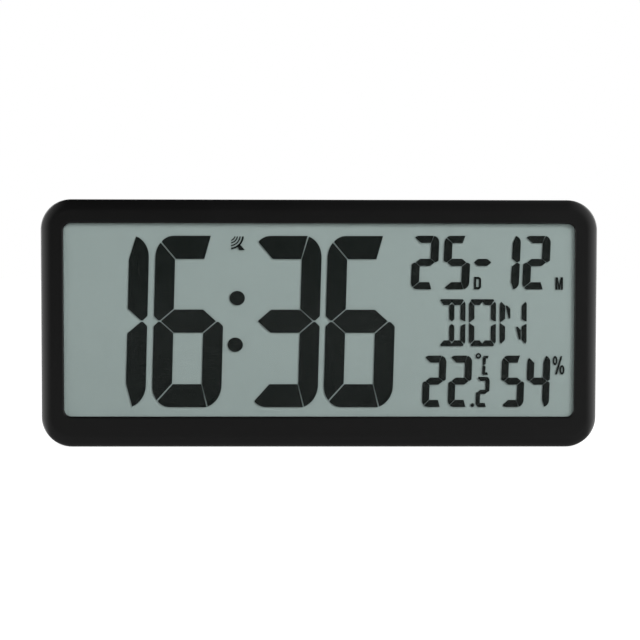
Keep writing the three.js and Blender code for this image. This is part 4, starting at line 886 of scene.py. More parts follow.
def upper_segment(name, size):
    """Segment a, b, f or g, with the digit's left edge at zero and its middle at height zero."""
    width, top, upright, thick = size.width, size.height / 2, size.upright, size.bar
    across, up = size.corner
    half = size.slit / 2
    inner, high, foot = width - upright, top - thick, SLIT_SPARE * half
    mid_slope = half * math.hypot(upright - size.tip, thick / 2) / (thick / 2)
    run_x = upright - across * (1 - math.cos(math.pi / 4))
    run_z = thick - up * (1 - math.sin(math.pi / 4))
    left_slope = half * math.hypot(run_x, run_z) / run_z
    reach = SLIT_REACH * upright
    right_slope = half * math.hypot(reach, thick) / thick
    end = [(upright, thick / 2 + foot), (size.tip + 0.3 * mid_slope, foot), (0.7 * size.tip, foot),
           (0, 0.22 * thick)]
    if name == "g":
        tip, side = size.tip + mid_slope, upright + mid_slope / 2
        return [(tip, 0), (side, -thick / 2), (width - side, -thick / 2), (width - tip, 0),
                (width - side, thick / 2), (side, thick / 2)]
    if name == "a":
        (x, z), *curve = arc(across, top - up, across, up, 135, 90)
        return [(x + left_slope, z), *curve, (inner + reach - right_slope, top), (inner - right_slope, high),
                (upright + left_slope, high)]
    if name == "f":
        *curve, (x, z) = arc(across, top - up, across, up, 180, 135)
        return [*curve, (x - 0.4 * left_slope, z - half), (upright, high - foot), *end]
    curve = arc(width - across, top - up, across, up, 0, 75)
    return [*curve, (inner + reach + right_slope, top - 0.02 * up), (inner, high - half / 2),
            *[(width - x, z) for x, z in end]]


def segment(name, size):
    if name in LOWER_TO_UPPER:
        return [(x, -z) for x, z in upper_segment(LOWER_TO_UPPER[name], size)]
    return upper_segment(name, size)


def digit(character, left, size):
    """A digit whose left edge at mid height is given. Its middle joint sits a little high."""
    middle, lift = size.bottom + size.height / 2, MIDDLE_LIFT * size.height
    return [[(left + x + size.lean * z, middle + z + (lift if abs(z) < size.bar else 0))
             for x, z in segment(name, size)] for name in SEGMENTS_OF[character]]


signs = []
for size, row in (
    (TIME, {-158.7: "1", -108.9: "6", -45.4: "3", 4.1: "6"}),
    (DATE, {60.7: "2", 81.6: "5", 114.4: "1", 134.1: "2"}),
    (CLIMATE, {68.2: "2", 85.2: "2", 120.1: "5", 136.95: "4"}),
    (TENTHS, {103.45: "2"}),
    (DEGREES, {107.7: "C"}),
):
    for left, character in row.items():
        signs += digit(character, left, size)
print(len(signs), "segments in the digits")

# %% [markdown]
# The weekday uses letter segments: uprights at the left, in the middle and at the right, bars with a notch
# in their middle, and short diagonals. They have no lean and no round corners. The lower half mirrors the
# upper one.

# %% Weekday letters
LETTER_MIDDLE = 82.3
LETTER_PARTS = {
    "left": [(-0.35, 12.5), (0.5, 13.95), (3.2, 11.15), (3.2, 2.5), (0, 0.25), (-0.35, 0.3)],
    "right": [(14.1, 11.3), (16.7, 13.95), (17.4, 12.5), (17.4, 0.9), (16.2, 1.1), (14.1, 2.3)],
    "middle": [(6.7, 11.35), (8.4, 12.55), (10.1, 11.35), (10.1, 2.3), (8.4, 0.75), (6.7, 2.3)],
    "bar": [(0.6, 14.75), (1.4, 15.5), (15.5, 15.5), (16.3, 14.75), (14.2, 11.65), (10.2, 11.65),
            (8.45, 13.75), (6.7, 11.65), (3.1, 11.65)],
}
DIAGONAL = [(0, 0), (1.1, 0), (3.1, -2.2), (3.1, -8.5), (1.95, -8.5)]
LETTERS = {
    "D": (78.8, ("middle", "right", "bar"), ()),
    "O": (98.9, ("left", "right", "bar"), ()),
    "N": (119.2, ("left", "right"), ((3.5, 11.3), (10.4, -2.6))),
}

for left, parts, diagonals in LETTERS.values():
    for part in parts:
        signs += [[(left + x, LETTER_MIDDLE + side * z) for x, z in LETTER_PARTS[part]] for side in (1, -1)]
    signs += [[(left + x0 + x, LETTER_MIDDLE + z0 + z) for x, z in DIAGONAL] for x0, z0 in diagonals]
print(len(signs), "segments with the weekday")

# %% [markdown]
# The rest are small printed signs: the colon, the dash, the decimal point, the letters for day and month,
# the percent sign, the degree ring and the little aerial that tells of reception. Rings need a hole, so
# they are drawn as an outer and an inner outline, and are lofted as a band.

# %% Small signs
AERIAL = (-58.75, 139.4)
AERIAL_CLIP = (0.7, 0.55)
WAVES = [(3.2, 0.72), (4.8, 0.76), (6.6, 0.8), (8.5, 1.15)]
MAST = [(-52.7, 134.0), (-49.0, 129.95), (-52.95, 129.85), (-53.6, 131.7), (-54.4, 132.9)]
DASH = [(101.4, 122.0), (104.2, 124.35), (110.3, 124.35), (113.1, 122.0), (110.3, 119.65), (104.2, 119.65)]
PERCENT_STROKE = [(155.6, 48.1), (156.95, 48.1), (160.45, 60.3), (159.15, 60.3)]
MONTH_BOX = Rect(155.4, 160.4, 104.1, 112.3)
DAY_BOX = Rect(101.75, 106.4, 104.3, 112.5)
DAY_STROKE = 1.45
DOTS = [((-54.1, 98.35), 5.05, 4.75), ((-55.4, 67.65), 5.05, 4.75), ((101.15, 27.85), 1.25, None)]
ROUND_RINGS = [((104.9, 60.4), (1.85, None), (0.8, None)), ((155.6, 57.3), (1.55, 3.1), (0.55, 1.8)),
               ((160.2, 51.2), (1.65, 3.1), (0.55, 1.8))]
SIGN_SIDES = 32


def wave(radius, width):
    """A part of a ring below and to the right of the aerial's origin."""
    edges = []
    for r in (radius + width / 2, radius - width / 2):
        start = -math.degrees(math.acos(AERIAL_CLIP[0] / r))
        end = -math.degrees(math.asin(AERIAL_CLIP[1] / r))
        edges.append(arc(*AERIAL, r, r, start, end, 12))
    return edges[0] + edges[1][::-1]


def month_letter(box):
    middle, height = box.width / 2, box.height
    left = [(0, 0), (0, height), (1.6, height), (middle, 0.36 * height)]
    inner = [(middle - 0.5, 0), (1.35, 0.56 * height), (1.35, 0)]
    mirror = [(box.width - x, z) for x, z in left[-2::-1] + inner[::-1]]
    return [(box.left + x, box.bottom + z) for x, z in left + mirror + inner]


signs += [circle(at, across, SIGN_SIDES, up)() for at, across, up in DOTS]
signs += [DASH, PERCENT_STROKE, month_letter(MONTH_BOX), *[wave(*row) for row in WAVES], MAST]
day_letter = rounded(DAY_BOX, [2.0, 2.0, 0.15, 0.15], 6)
rings = [(day_letter(), day_letter(-DAY_STROKE))]
rings += [[circle(at, across, SIGN_SIDES, up)() for across, up in sizes] for at, *sizes in ROUND_RINGS]
print(len(signs), "outlines and", len(rings), "rings")

# %% [markdown]
# All signs become one thin mesh inside the front glass. On the real clock the crystal lies a glass's
# thickness in front of the reflector, which is why each segment throws a small shadow down to the left. The
# gap here gives the same shadow.

# %% Segments
SEGMENT_THICK = 0.08
SHADOW_GAP = 0.95
SEGMENT_BACK = GROUND - SHADOW_GAP
SEGMENT_FRONT = SEGMENT_BACK - SEGMENT_THICK
points, faces = [], []


def extend(new_points, new_faces):
    start = len(points)
    points.extend(new_points)
    faces.extend([[start + index for index in face] for face in new_faces])


def area(outline):
    return sum(x0 * z1 - x1 * z0 for (x0, z0), (x1, z1) in zip(outline, outline[1:] + outline[:1])) / 2


for outline in signs:
    anticlockwise = outline if area(outline) > 0 else outline[::-1]
    extend(*loft_data([at_depth(anticlockwise, y) for y in (SEGMENT_FRONT, SEGMENT_BACK)]))
for outer, inner in rings:
    count = len(outer)
    edges = [at_depth(outline, y) for outline, y in (
        (outer, SEGMENT_FRONT), (outer, SEGMENT_BACK), (inner, SEGMENT_BACK), (inner, SEGMENT_FRONT))]
    band = [(side * count + i, (side + 1) % 4 * count + i, (side + 1) % 4 * count + (i + 1) % count,
             side * count + (i + 1) % count) for side in range(4) for i in range(count)]
    extend([point for edge in edges for point in edge], band)
piece(mesh_object("segments", points, faces), "display_segments", "case", "segment_dye", slot="front_film")

# %% [markdown]
# ## Rear cover
#
# The cover isn't in the photograph, so it follows what clocks of this kind have: a recess in which the
# stand lies flush, with round sockets for its pins, two keyholes for hanging, a bay for two cells, a dish
# with five buttons, slots for the sounder and the climate sensor, and screws deep in wells. Each of these
# is a boss added on the inside and a pocket cut from the outside. The pockets are wells with soft lips, as
# a mould leaves them.

# %% Sizes of the rear cover
LIP = 0.35
RECESS_WALL = 1.6
STAND_THICK = 5.5
STAND_CLEAR = 0.6
STAND_LENGTH = 100.0
STAND_HEEL = 6.0
STAND_TOP_HALF = 33.0
STAND_FOOT_HALF = 46.0
STAND_CORNER = 6.0
PIN_RADIUS = 1.8
PIN_REACH = 2.8
PIN_CLEAR = 0.3
PAD_DEEP = 1.6
PAD_OUT = 1.0
HINGE_Z = rect_of("stand").top - STAND_HEEL
HINGE_Y = BACK - STAND_THICK / 2
RECESS_FLOOR = BACK - STAND_THICK - STAND_CLEAR
print(f"stand hinge at y {HINGE_Y:.2f}, z {HINGE_Z:.1f} mm")

# %% The stand's outline
def soft_corners(corners, reach, steps=10):
    """Straight sides whose corners are rounded by a curve that reaches that far along both sides."""
    points = []
    for i, corner in enumerate(corners):
        here = Vector(corner)
        start, end = [here + (Vector(other) - here).normalized() * reach
                      for other in (corners[i - 1], corners[(i + 1) % len(corners)])]
        for step in range(steps + 1):
            t = step / steps
            points.append(tuple(start * (1 - t) ** 2 + here * (2 * t * (1 - t)) + end * t ** 2))
    return points


def stand_half(height):
    share = (STAND_HEEL - height) / (STAND_LENGTH + STAND_HEEL)
    return STAND_TOP_HALF + share * (STAND_FOOT_HALF - STAND_TOP_HALF)


def tapered(low, high, side, corner):
    """A shape that widens downwards as the stand does. Its heights count from the hinge line."""
    wide, narrow = stand_half(low) + side, stand_half(high) + side
    corners = [(-wide, low), (wide, low), (narrow, high), (-narrow, high)]
    return [(x, z + HINGE_Z) for x, z in soft_corners(corners, corner)]


def stand_outline(growth=0.0):
    return tapered(-STAND_LENGTH - growth, STAND_HEEL + growth, growth, STAND_CORNER)


def recess(growth=0.0):
    """The stand's outline with room for its pad, and for its heel, whose corner swings past its top."""
    clear = STAND_CLEAR + growth
    return tapered(-STAND_LENGTH - PAD_OUT - clear, STAND_HEEL + HEEL_SWEEP + clear, clear, STAND_CORNER)


HEEL_SWEEP = math.hypot(STAND_HEEL, STAND_THICK / 2) - STAND_HEEL
print("the heel swings", round(HEEL_SWEEP, 2), "mm further than it stands up")

# %% [markdown]
# The slots over the sounder and the sensor are the first shape here that repeats. Geometry Nodes lay out
# one stadium solid per point of a row, and scale each to its own length, so that a row can fill a round
# field. The result is taken as a plain mesh and used as a cutting tool, like any other. The same tree gives
# the grip grooves of the battery door, so its sizes are all named inputs.

# %% Geometry Nodes helpers
def geometry_tree(name, floats, ints=(), vectors=()):
    """Starts a tree. It takes points, its named sizes and a material."""
    inputs = {"Geometry": "geometry", **dict.fromkeys(floats, "float"), **dict.fromkeys(ints, "int"),
              **dict.fromkeys(vectors, "vector"), "Material": "material"}
    return new_group(name, "GeometryNodeTree", inputs, {"Geometry": "geometry"})


def finish_tree(given, out, instance):
    """Puts an instance on each point, makes it real and sets its material."""
    placed = on_points(given["Geometry"], instance)
    real = tap(placed.tree, "RealizeInstances", placed)
    feed(out, Geometry=tap(placed.tree, "SetMaterial", Geometry=real, Material=given["Material"]))


def on_points(points, instance, **named):
    return tap(points.tree, "InstanceOnPoints", Points=points, Instance=instance, **named)


def vector(tree, **axes):
    return tap(tree, "CombineXYZ", **axes)


def grown_mesh(name, tree, finish, points, numbers=None, **lengths):
    """Runs a tree on a few points and returns its result as a plain object. All lengths are millimetres."""
    made = mesh_object(name, points, [])
    made.data.materials.append(FINISHES[finish])
    modifier = made.modifiers.new(name, "NODES")
    modifier.node_group = tree
    values = {label: length * MM for label, length in lengths.items()}
    values.update(numbers or {}, Material=FINISHES[finish])
    for item in tree.interface.items_tree:
        label = item.name.replace(" ", "_")
        if label in values:
            modifier[item.identifier] = values[label]
    return apply_modifiers(made)


def close(mesh):
    """Merges doubles and turns all faces outwards."""
    bmesh.ops.remove_doubles(mesh, verts=mesh.verts, dist=1e-6)
    bmesh.ops.recalc_face_normals(mesh, faces=mesh.faces)


print("Geometry Nodes helpers ready")

# %% A row of slots
ALMOST_HALF = 0.499
ARC_STEPS = 7
WIDE_FIELD = 1000.0
SLOT_DEPTH = 8
SOUND_FIELD = 9.0
SENSOR_SLOT = 14.0


def slot_row_tree():
    tree, given, out = geometry_tree(
        "slot_row", ["Pitch", "Width", "Length", "Depth", "Field radius"], ["Count"])
    outline = tap(tree, "CurvePrimitiveQuadrilateral", Width=given["Width"], Height=given["Length"])
    outline = tap(tree, "FilletCurve", Curve=outline, Radius=given["Width"] * ALMOST_HALF, Count=ARC_STEPS,
                  mode="POLY")
    half = given["Depth"] * 0.5
    path = tap(tree, "CurvePrimitiveLine", Start=vector(tree, Y=half * -1.0), End=vector(tree, Y=half))
    slot = tap(tree, "CurveToMesh", Curve=path, Profile_Curve=outline, Fill_Caps=True)
    first = (given["Count"] - 1.0) * -0.5 * given["Pitch"]
    row = tap(tree, "MeshLine", Count=given["Count"], Start_Location=vector(tree, X=first),
              Offset=vector(tree, X=given["Pitch"]))
    share = axes_of(tap(tree, "InputPosition"))[0] / given["Field radius"]
    chord = (1.0 - share * share).math("SQRT")
    finish_tree(given, out, on_points(row, slot, Scale=vector(tree, X=1.0, Y=1.0, Z=chord)))
    return tree


SLOT_ROW = slot_row_tree()


def slot_row(at, length, depth, field=WIDE_FIELD, count=5, pitch=3.6, width=1.6):
    made = grown_mesh("slots", SLOT_ROW, "rear_plastic", [at], {"Count": count}, Pitch=pitch, Width=width,
                      Length=length, Depth=depth, Field_radius=field)
    return edit_mesh(made, close)


trial = slot_row((0, 0, 0), 2 * SOUND_FIELD, SLOT_DEPTH, SOUND_FIELD)
print("sound slots measure", [round(size / MM, 2) for size in trial.dimensions], "mm")
discard(trial)

# %% Places on the rear cover, read from the frame
BUTTONS = ["mode", "up", "down", "alarm", "wave"]
BUTTON_PLACES = places([f"{name}_button" for name in BUTTONS])
BUTTON_RADIUS = 4.5
DISH_DEPTH = 1.2
DISH_MARGIN = 3.0
DISH = grow(Rect(BUTTON_PLACES[0][0], BUTTON_PLACES[-1][0], BUTTON_PLACES[0][1], BUTTON_PLACES[0][1]),
            BUTTON_RADIUS + DISH_MARGIN)
SOUNDER = middle_of("sounder_disc")
SOUNDER_RADIUS = rect_of("sounder_disc").right - SOUNDER.x
SENSOR = middle_of("climate_sensor")
SENSOR_BOARD = rect_of("climate_sensor")
KEYHOLE_X = 75.0
KEYHOLE_Z = CASE.top - 26
DOOR_LAP = 1.2
DOOR_CORNER = 1.7
DOOR = rect_of("battery_door")._replace(bottom=45.1, top=78.9)
DOOR_FRONT = BACK - 1.8
BAY = grow(DOOR, -DOOR_LAP)
BATTERY_Y = middle_of("upper_battery").y
BATTERY_RADIUS = back_of("upper_battery") - BATTERY_Y
BAY_FLOOR = BATTERY_Y - BATTERY_RADIUS - GAP
print(f"bay {BAY.width:.1f} x {BAY.height:.1f} mm for cells of {2 * BATTERY_RADIUS:.1f} mm")

# %% [markdown]
# Each feature of the cover gives two lists: what it adds on the inside and what it cuts from the outside.
# Keeping them apart matters, because all walls have to stand before any pocket is cut, or one feature's
# wall would fill another one's pocket. Only the saddles under the cells come last, as they stand on the
# floor of the bay.

# %% Shell, ribs and screw wells
RIB_DEPTH = 2.4
RIB_ROWS = (97, CASE.top - 16)
RIB_COLUMNS = (-62, 62)
WELL_FRONT = BACK - COVER_WELL_DEPTH
WELL_POST_RADIUS = 4.2
SEAT_BACK = BACK - 4.6
HEAD_RADIUS = 2.9


def cover_shell():
    rim, round_start = PARTING + GAP, BACK - BACK_ROUND
    outside = [case_ring(RIM_EDGE, rim), case_ring(0, rim + RIM_EDGE)]
    outside += rounded_rings(BACK_ROUND, 0, BACK, round_start, 8)[::-1]
    inside = [case_ring(WALL, PARTING - LIP_LENGTH - OVERCUT)]
    inside += rounded_rings(BACK_ROUND, WALL, BACK_INNER, round_start, 5)[::-1]
    lip = loft(*[case_ring(WALL - LIP_THICK, y) for y in (PARTING - LIP_LENGTH + GAP, rim + FUSE)])
    return carve(loft(*outside), added=[lip], removed=[loft(*inside)])


def boss(outline, front):
    """A block on the inside of the cover's wall."""
    return body(outline, front, BACK_INNER + FUSE)


def cover_ribs():
    inner, half = grow(CASE, -WALL), RIB_THICK / 2
    ribs = [inner._replace(bottom=z - half, top=z + half) for z in RIB_ROWS]
    ribs += [inner._replace(left=x - half, right=x + half) for x in RIB_COLUMNS]
    return [boss(rib, BACK_INNER - RIB_DEPTH) for rib in ribs]


def screw_wells():
    posts = [boss(circle(at, WELL_POST_RADIUS), WELL_FRONT) for at in places(COVER_SCREWS)]
    wells = [well(circle(at, HEAD_RADIUS + GAP), SEAT_BACK, BACK, LIP) for at in places(COVER_SCREWS)]
    return posts, wells + pilots(COVER_SCREWS, COVER_SHANK_RADIUS, WELL_FRONT - OVERCUT)


print("cover: shell, ribs and screw wells ready")

# %% Stand recess, finger notch and keyholes
NOTCH_Z = 30
NOTCH_WIDTH = 12
NOTCH_HEIGHT = 22
NOTCH_DEPTH = 4.6
NOTCH_CORNER = 4
KEY_RADIUS = 4.7
KEY_RISE = 8
KEY_SLOT_HALF = 2.4
KEY_ROOM = 5
KEY_MARGIN = 1.8
THIN_WALL = 1.4
SHARP = 0.1
ALMOST = 0.01


def pocket(outline, floor, lip, foot, thick=RECESS_WALL):
    """The wall that a pocket needs on the inside, and the pocket itself."""
    wall = boss(lambda growth: outline(growth + RECESS_WALL), floor - thick)
    return [wall], [well(outline, floor, BACK, lip, foot)]


def stand_space():
    walls, hollows = pocket(recess, RECESS_FLOOR, 0.5, 0.5)
    inner, radius = stand_half(0) + STAND_CLEAR, PIN_RADIUS + PIN_CLEAR
    depth = PIN_REACH - STAND_CLEAR + PIN_CLEAR
    reach = (depth + RECESS_WALL + STAND_CLEAR) / 2
    for side in (-1, 1):
        seat = rect_at(side * (inner + reach - STAND_CLEAR), HINGE_Z, 2 * reach, 4 * radius)
        walls.append(boss(seat, RECESS_FLOOR - RECESS_WALL))
    return walls, hollows + [bar(radius, -inner - depth, inner + depth, HINGE_Y, HINGE_Z)]


def finger_notch():
    middle = stand_half(NOTCH_Z - HINGE_Z) + NOTCH_WIDTH / 2
    outline = rounded(rect_at(middle, NOTCH_Z, NOTCH_WIDTH, NOTCH_HEIGHT), NOTCH_CORNER)
    return pocket(outline, BACK - NOTCH_DEPTH, 0.5, 1.2)


def keyhole(x):
    """A round mouth and a slot above it, with room behind both for the head of a wall screw."""
    front, side = BACK_INNER - KEY_ROOM, KEY_RADIUS + KEY_MARGIN
    room = strip(x, 2 * side, KEYHOLE_Z - side, KEYHOLE_Z + KEY_RISE + KEY_RADIUS + KEY_MARGIN / 2)
    slot = strip(x, 2 * KEY_SLOT_HALF, KEYHOLE_Z, KEYHOLE_Z + KEY_RISE + KEY_SLOT_HALF)
    end = KEY_SLOT_HALF - ALMOST
    return [boss(grow(room, THIN_WALL), front - THIN_WALL)], [
        body(room, front, BACK_INNER), well(circle((x, KEYHOLE_Z), KEY_RADIUS), front, BACK, LIP),
        well(rounded(slot, [SHARP, end, end, SHARP], 10), BACK_INNER - FUSE, BACK, LIP)]


print("cover: stand recess, finger notch and keyholes ready")

# %% Sizes of the battery bay, its latch and its hooks
BAY_WALL = 2.4
BAY_MIDDLE = (BAY.left + BAY.right) / 2
LATCH_WIDTH = 12.0
LATCH_LEAF = 1.2
LATCH_DEPTH = 6.0
LATCH_BEND = 4.0
LATCH_TOP = DOOR.top + LATCH_BEND - LATCH_LEAF + 1.0
HOOK_AT = 18.0
HOOK_WIDTH = 8.0
HOOK_ROOM = 3.7
CELL_ROWS = [middle_of("upper_battery").z, middle_of("lower_battery").z]
SADDLE_AT = 15
SADDLE_THICK = 1.6
SADDLE_RISE = 2.8
TAIL_Y = BATTERY_Y - 6.5
TAIL_SLOT = 3.2
CONTACT_THICK = 0.5
print("cells lie at heights", [round(z, 1) for z in CELL_ROWS], "mm")

# %% Battery bay
def battery_bay():
    latch = strip(BAY_MIDDLE, LATCH_WIDTH + 2 * GAP, BAY.top - FUSE, LATCH_TOP + GAP)
    latch_front = DOOR_FRONT - LATCH_DEPTH - GAP
    walls = [boss(grow(BAY, BAY_WALL), BAY_FLOOR - THIN_WALL),
             boss(grow(latch, THIN_WALL), latch_front - THIN_WALL)]
    hollows = [body(BAY, BAY_FLOOR, BACK + OVERCUT), body(latch, latch_front, BACK + OVERCUT),
               well(rounded(grow(DOOR, GAP), DOOR_CORNER + GAP), DOOR_FRONT - GAP, BACK, 0.25)]
    for side in (-1, 1):
        slot = strip(BAY_MIDDLE + side * HOOK_AT, HOOK_WIDTH + 2 * GAP, BAY.bottom - BAY_WALL - OVERCUT,
                     BAY.bottom + OVERCUT)
        hollows.append(body(slot, DOOR_FRONT - HOOK_ROOM, BACK_INNER))
        hollows.append(body(slot._replace(bottom=DOOR.bottom - GAP), DOOR_FRONT - HOOK_ROOM, DOOR_FRONT))
    for z in CELL_ROWS:
        slot = rect_at(BAY.left, z, 2 * BAY_WALL + OVERCUT, TAIL_SLOT)
        hollows.append(body(slot, TAIL_Y - GAP, TAIL_Y + CONTACT_THICK + GAP))
    return walls, hollows


def cell_saddles():
    """Two cross walls on the bay's floor, hollowed to the shape of the cells."""
    made = []
    for side in (-1, 1):
        wall = rect_at(BAY_MIDDLE + side * SADDLE_AT, sum(CELL_ROWS) / 2, SADDLE_THICK, BAY.height + 2 * FUSE)
        cells = [bar(BATTERY_RADIUS + GAP, BAY.left, BAY.right, BATTERY_Y, z) for z in CELL_ROWS]
        made.append(carve(body(wall, BAY_FLOOR - FUSE, BAY_FLOOR + SADDLE_RISE), removed=cells))
    return made


print("cover: battery bay ready")

# %% Button dish, sounder ring, sensor rails, and the whole cover
RING_DEPTH = 2.5
RING_THICK = 1.6
RAIL_DEPTH = 3


def button_dish():
    floor = BACK - DISH_DEPTH
    walls, hollows = pocket(rounded(DISH, BUTTON_RADIUS + DISH_MARGIN), floor, 0.6, 0.4, BACK_THICK)
    return walls, hollows + [well(circle(at, BUTTON_RADIUS + GAP), floor - BACK_THICK - OVERCUT, floor, 0.2)
                             for at in BUTTON_PLACES]


def sensor_seats():
    ring_front, at = BACK_INNER - RING_DEPTH, (SOUNDER.x, SOUNDER.z)
    ring = carve(boss(circle(at, SOUNDER_RADIUS), ring_front),
                 removed=[disc(at, SOUNDER_RADIUS - RING_THICK, ring_front - OVERCUT, BACK_INNER)])
    rails = [boss(rect_at(SENSOR.x, z, SENSOR_BOARD.width, WALL), BACK_INNER - RAIL_DEPTH)
             for z in (SENSOR_BOARD.bottom, SENSOR_BOARD.top)]
    return [ring, *rails], [slot_row((SOUNDER.x, BACK, SOUNDER.z), 2 * SOUND_FIELD, SLOT_DEPTH, SOUND_FIELD),
                            slot_row((SENSOR.x, BACK, SENSOR.z), SENSOR_SLOT, SLOT_DEPTH)]


def rear_cover():
    added, removed = cover_ribs(), []
    for walls, hollows in (battery_bay(), screw_wells(), stand_space(), finger_notch(), keyhole(-KEYHOLE_X),
                           keyhole(KEYHOLE_X), button_dish(), sensor_seats()):
        added += walls
        removed += hollows
    return carve(carve(carve(cover_shell(), added=added), removed=removed), added=cell_saddles())


piece(rear_cover(), "cover", "case", "rear_plastic", "rear_cover")

# %% [markdown]
# ## Stand, foot pad and battery door
#
# The stand is a flat plate with a barrel and two pins at its top, ribs on its inside, and a groove at its
# foot for a rubber pad. The door has two hooks that turn in the cover's slots, and a bent leaf that springs
# as the latch. The door's grip grooves come from the slot tree.

# %% Stand and pad
STAND_SKIN = 2
STAND_RIB = 2.4
GROOVE_HALF = 1.8
GROOVE_WIDTH = 70.6
HEEL_CUT = 120


def stand():
    half = STAND_THICK / 2
    front, foot = HINGE_Y - half, HINGE_Z - STAND_LENGTH
    heel = strip(0, HEEL_CUT, HINGE_Z, HINGE_Z + STAND_HEEL + OVERCUT)
    plate = carve(body(stand_outline, front, BACK, 0.4, 0.5), removed=[body(heel, front - OVERCUT, HINGE_Y)])
    bars = [bar(radius, -end, end, HINGE_Y, HINGE_Z)
            for radius, end in ((half, stand_half(half)), (PIN_RADIUS, stand_half(0) + PIN_REACH))]
    low, high = -STAND_LENGTH + PAD_DEEP + 2 * STAND_RIB, -half - STAND_RIB
    hollow = body(lambda growth: tapered(low, high, -STAND_RIB, STAND_CORNER / 2), front - OVERCUT,
                  BACK - STAND_SKIN)
    middle = HINGE_Z + (low + high) / 2
    ribs = [rect_at(0, middle, 2 * STAND_LENGTH, STAND_RIB / 2)]
    ribs += [rect_at(side * STAND_TOP_HALF / 3, middle, STAND_RIB / 2, STAND_LENGTH) for side in (-1, 1)]
    hollow = carve(hollow, removed=[body(rib, front - 2 * OVERCUT, BACK) for rib in ribs])
    groove = body(strip(0, GROOVE_WIDTH, foot - OVERCUT, foot + PAD_DEEP), HINGE_Y - GROOVE_HALF,
                  HINGE_Y + GROOVE_HALF)
    return carve(plate, added=bars, removed=[hollow, groove])


piece(stand(), "folding_stand", "stand", "rear_plastic", "stand")
pad = body(rounded(rect_of("stand_pad"), 0.5, 6), front_of("stand_pad"), back_of("stand_pad"), 0.4, 0.4)
piece(pad, "foot_pad", "stand", "rubber", "stand_pad")

# %% Battery door
HOOK_THICK = 1.2
HOOK_DEPTH = 2.2
HOOK_REACH = 2
CATCH_THICK = 1.0
LEAF_BELOW = 0.2
GRIP_BELOW = 8.5
GRIP_DEPTH = 1.3


def battery_door():
    added = []
    for side in (-1, 1):
        leg = strip(BAY_MIDDLE + side * HOOK_AT, HOOK_WIDTH, DOOR.bottom, DOOR.bottom + HOOK_THICK)
        hook_front = DOOR_FRONT - HOOK_DEPTH
        added += [body(leg, hook_front, DOOR_FRONT + FUSE),
                  body(leg._replace(bottom=DOOR.bottom - HOOK_REACH), hook_front, hook_front + HOOK_THICK)]
    near = strip(BAY_MIDDLE, LATCH_WIDTH, DOOR.top - LATCH_LEAF - FUSE, DOOR.top - FUSE)
    far_low = near.bottom + LATCH_BEND - LATCH_LEAF
    far = near._replace(bottom=far_low, top=far_low + LATCH_LEAF)
    finger = far._replace(top=LATCH_TOP)
    bend_front, leaf_back, catch_back = DOOR_FRONT - LATCH_DEPTH, BACK - LEAF_BELOW, BACK_INNER - GAP
    added += [body(near, bend_front, DOOR_FRONT + FUSE),
              body(near._replace(top=far.top), bend_front, bend_front + LATCH_LEAF),
              body(far, bend_front, leaf_back), body(finger, leaf_back - LATCH_LEAF, leaf_back),
              body(finger, catch_back - CATCH_THICK, catch_back)]
    plate = carve(body(rounded(DOOR, DOOR_CORNER), DOOR_FRONT, BACK, 0.2, 0.3), added=added)
    grip = slot_row((BAY_MIDDLE, BACK, DOOR.top - GRIP_BELOW), 9, GRIP_DEPTH, count=7, pitch=2.6, width=1.3)
    return carve(plate, removed=[grip])


piece(battery_door(), "cell_door", "door", "rear_plastic", "battery_door")

# %% [markdown]
# ## Buttons
#
# A button is a turned shape: a post that reaches down to its switch, a flange that stops it from falling
# out, and a cap with a rounded edge and a shallow dish for the fingertip. Each one rides on its own body,
# as it is pressed on its own.

# %% Buttons
TURNED_SIDES = 56
POST_RADIUS = 2.2
FLANGE_OUT = 1.3
FLANGE_THICK = 1
CAP_BELOW = 0.1
CAP_EDGE = 0.5
CAP_HOLLOW = 0.3
CAP_STEPS = (0.85, 0.65, 0.45, 0.25, 0.08)


def turned(at, profile):
    """A round shape about the depth axis. Its profile of radius and depth runs from front to back."""
    return loft(*[at_depth(circle(at, radius, TURNED_SIDES)(), y) for radius, y in profile])


def button(at, foot):
    top, flat = BACK - CAP_BELOW, BUTTON_RADIUS - CAP_EDGE
    flange_back = BACK - DISH_DEPTH - BACK_THICK - GAP
    flange_front = flange_back - FLANGE_THICK
    profile = [(POST_RADIUS, foot), (POST_RADIUS, flange_front), (BUTTON_RADIUS + FLANGE_OUT, flange_front),
               (BUTTON_RADIUS + FLANGE_OUT, flange_back), (BUTTON_RADIUS, flange_back)]
    profile += [(flat + CAP_EDGE * math.cos(turn), top - CAP_EDGE + CAP_EDGE * math.sin(turn))
                for turn in quarter_turn(5)]
    profile += [(flat * share, top - CAP_HOLLOW * (1 - share ** 2)) for share in CAP_STEPS]
    return turned(at, profile)


for name, at in zip(BUTTONS, BUTTON_PLACES):
    foot = back_of(f"{name}_plunger") + GAP
    piece(button(at, foot), f"{name}_cap", f"{name}_key", "button_plastic", f"{name}_button")

# %% [markdown]
# ## Cells
#
# A cell is turned too, about its own length. Its wrap is printed, so its pattern has to follow the cell and
# not the room: a UV map runs round it and along it, from 0 at the flat end to 1 at the nub.

# %% Cells
END_INSET = 1.6
END_RISE = 0.3
CELL_EDGE = 0.6
SHOULDER = 1.2
NUB_RADIUS = 2.75
NUB_EDGE = 0.3


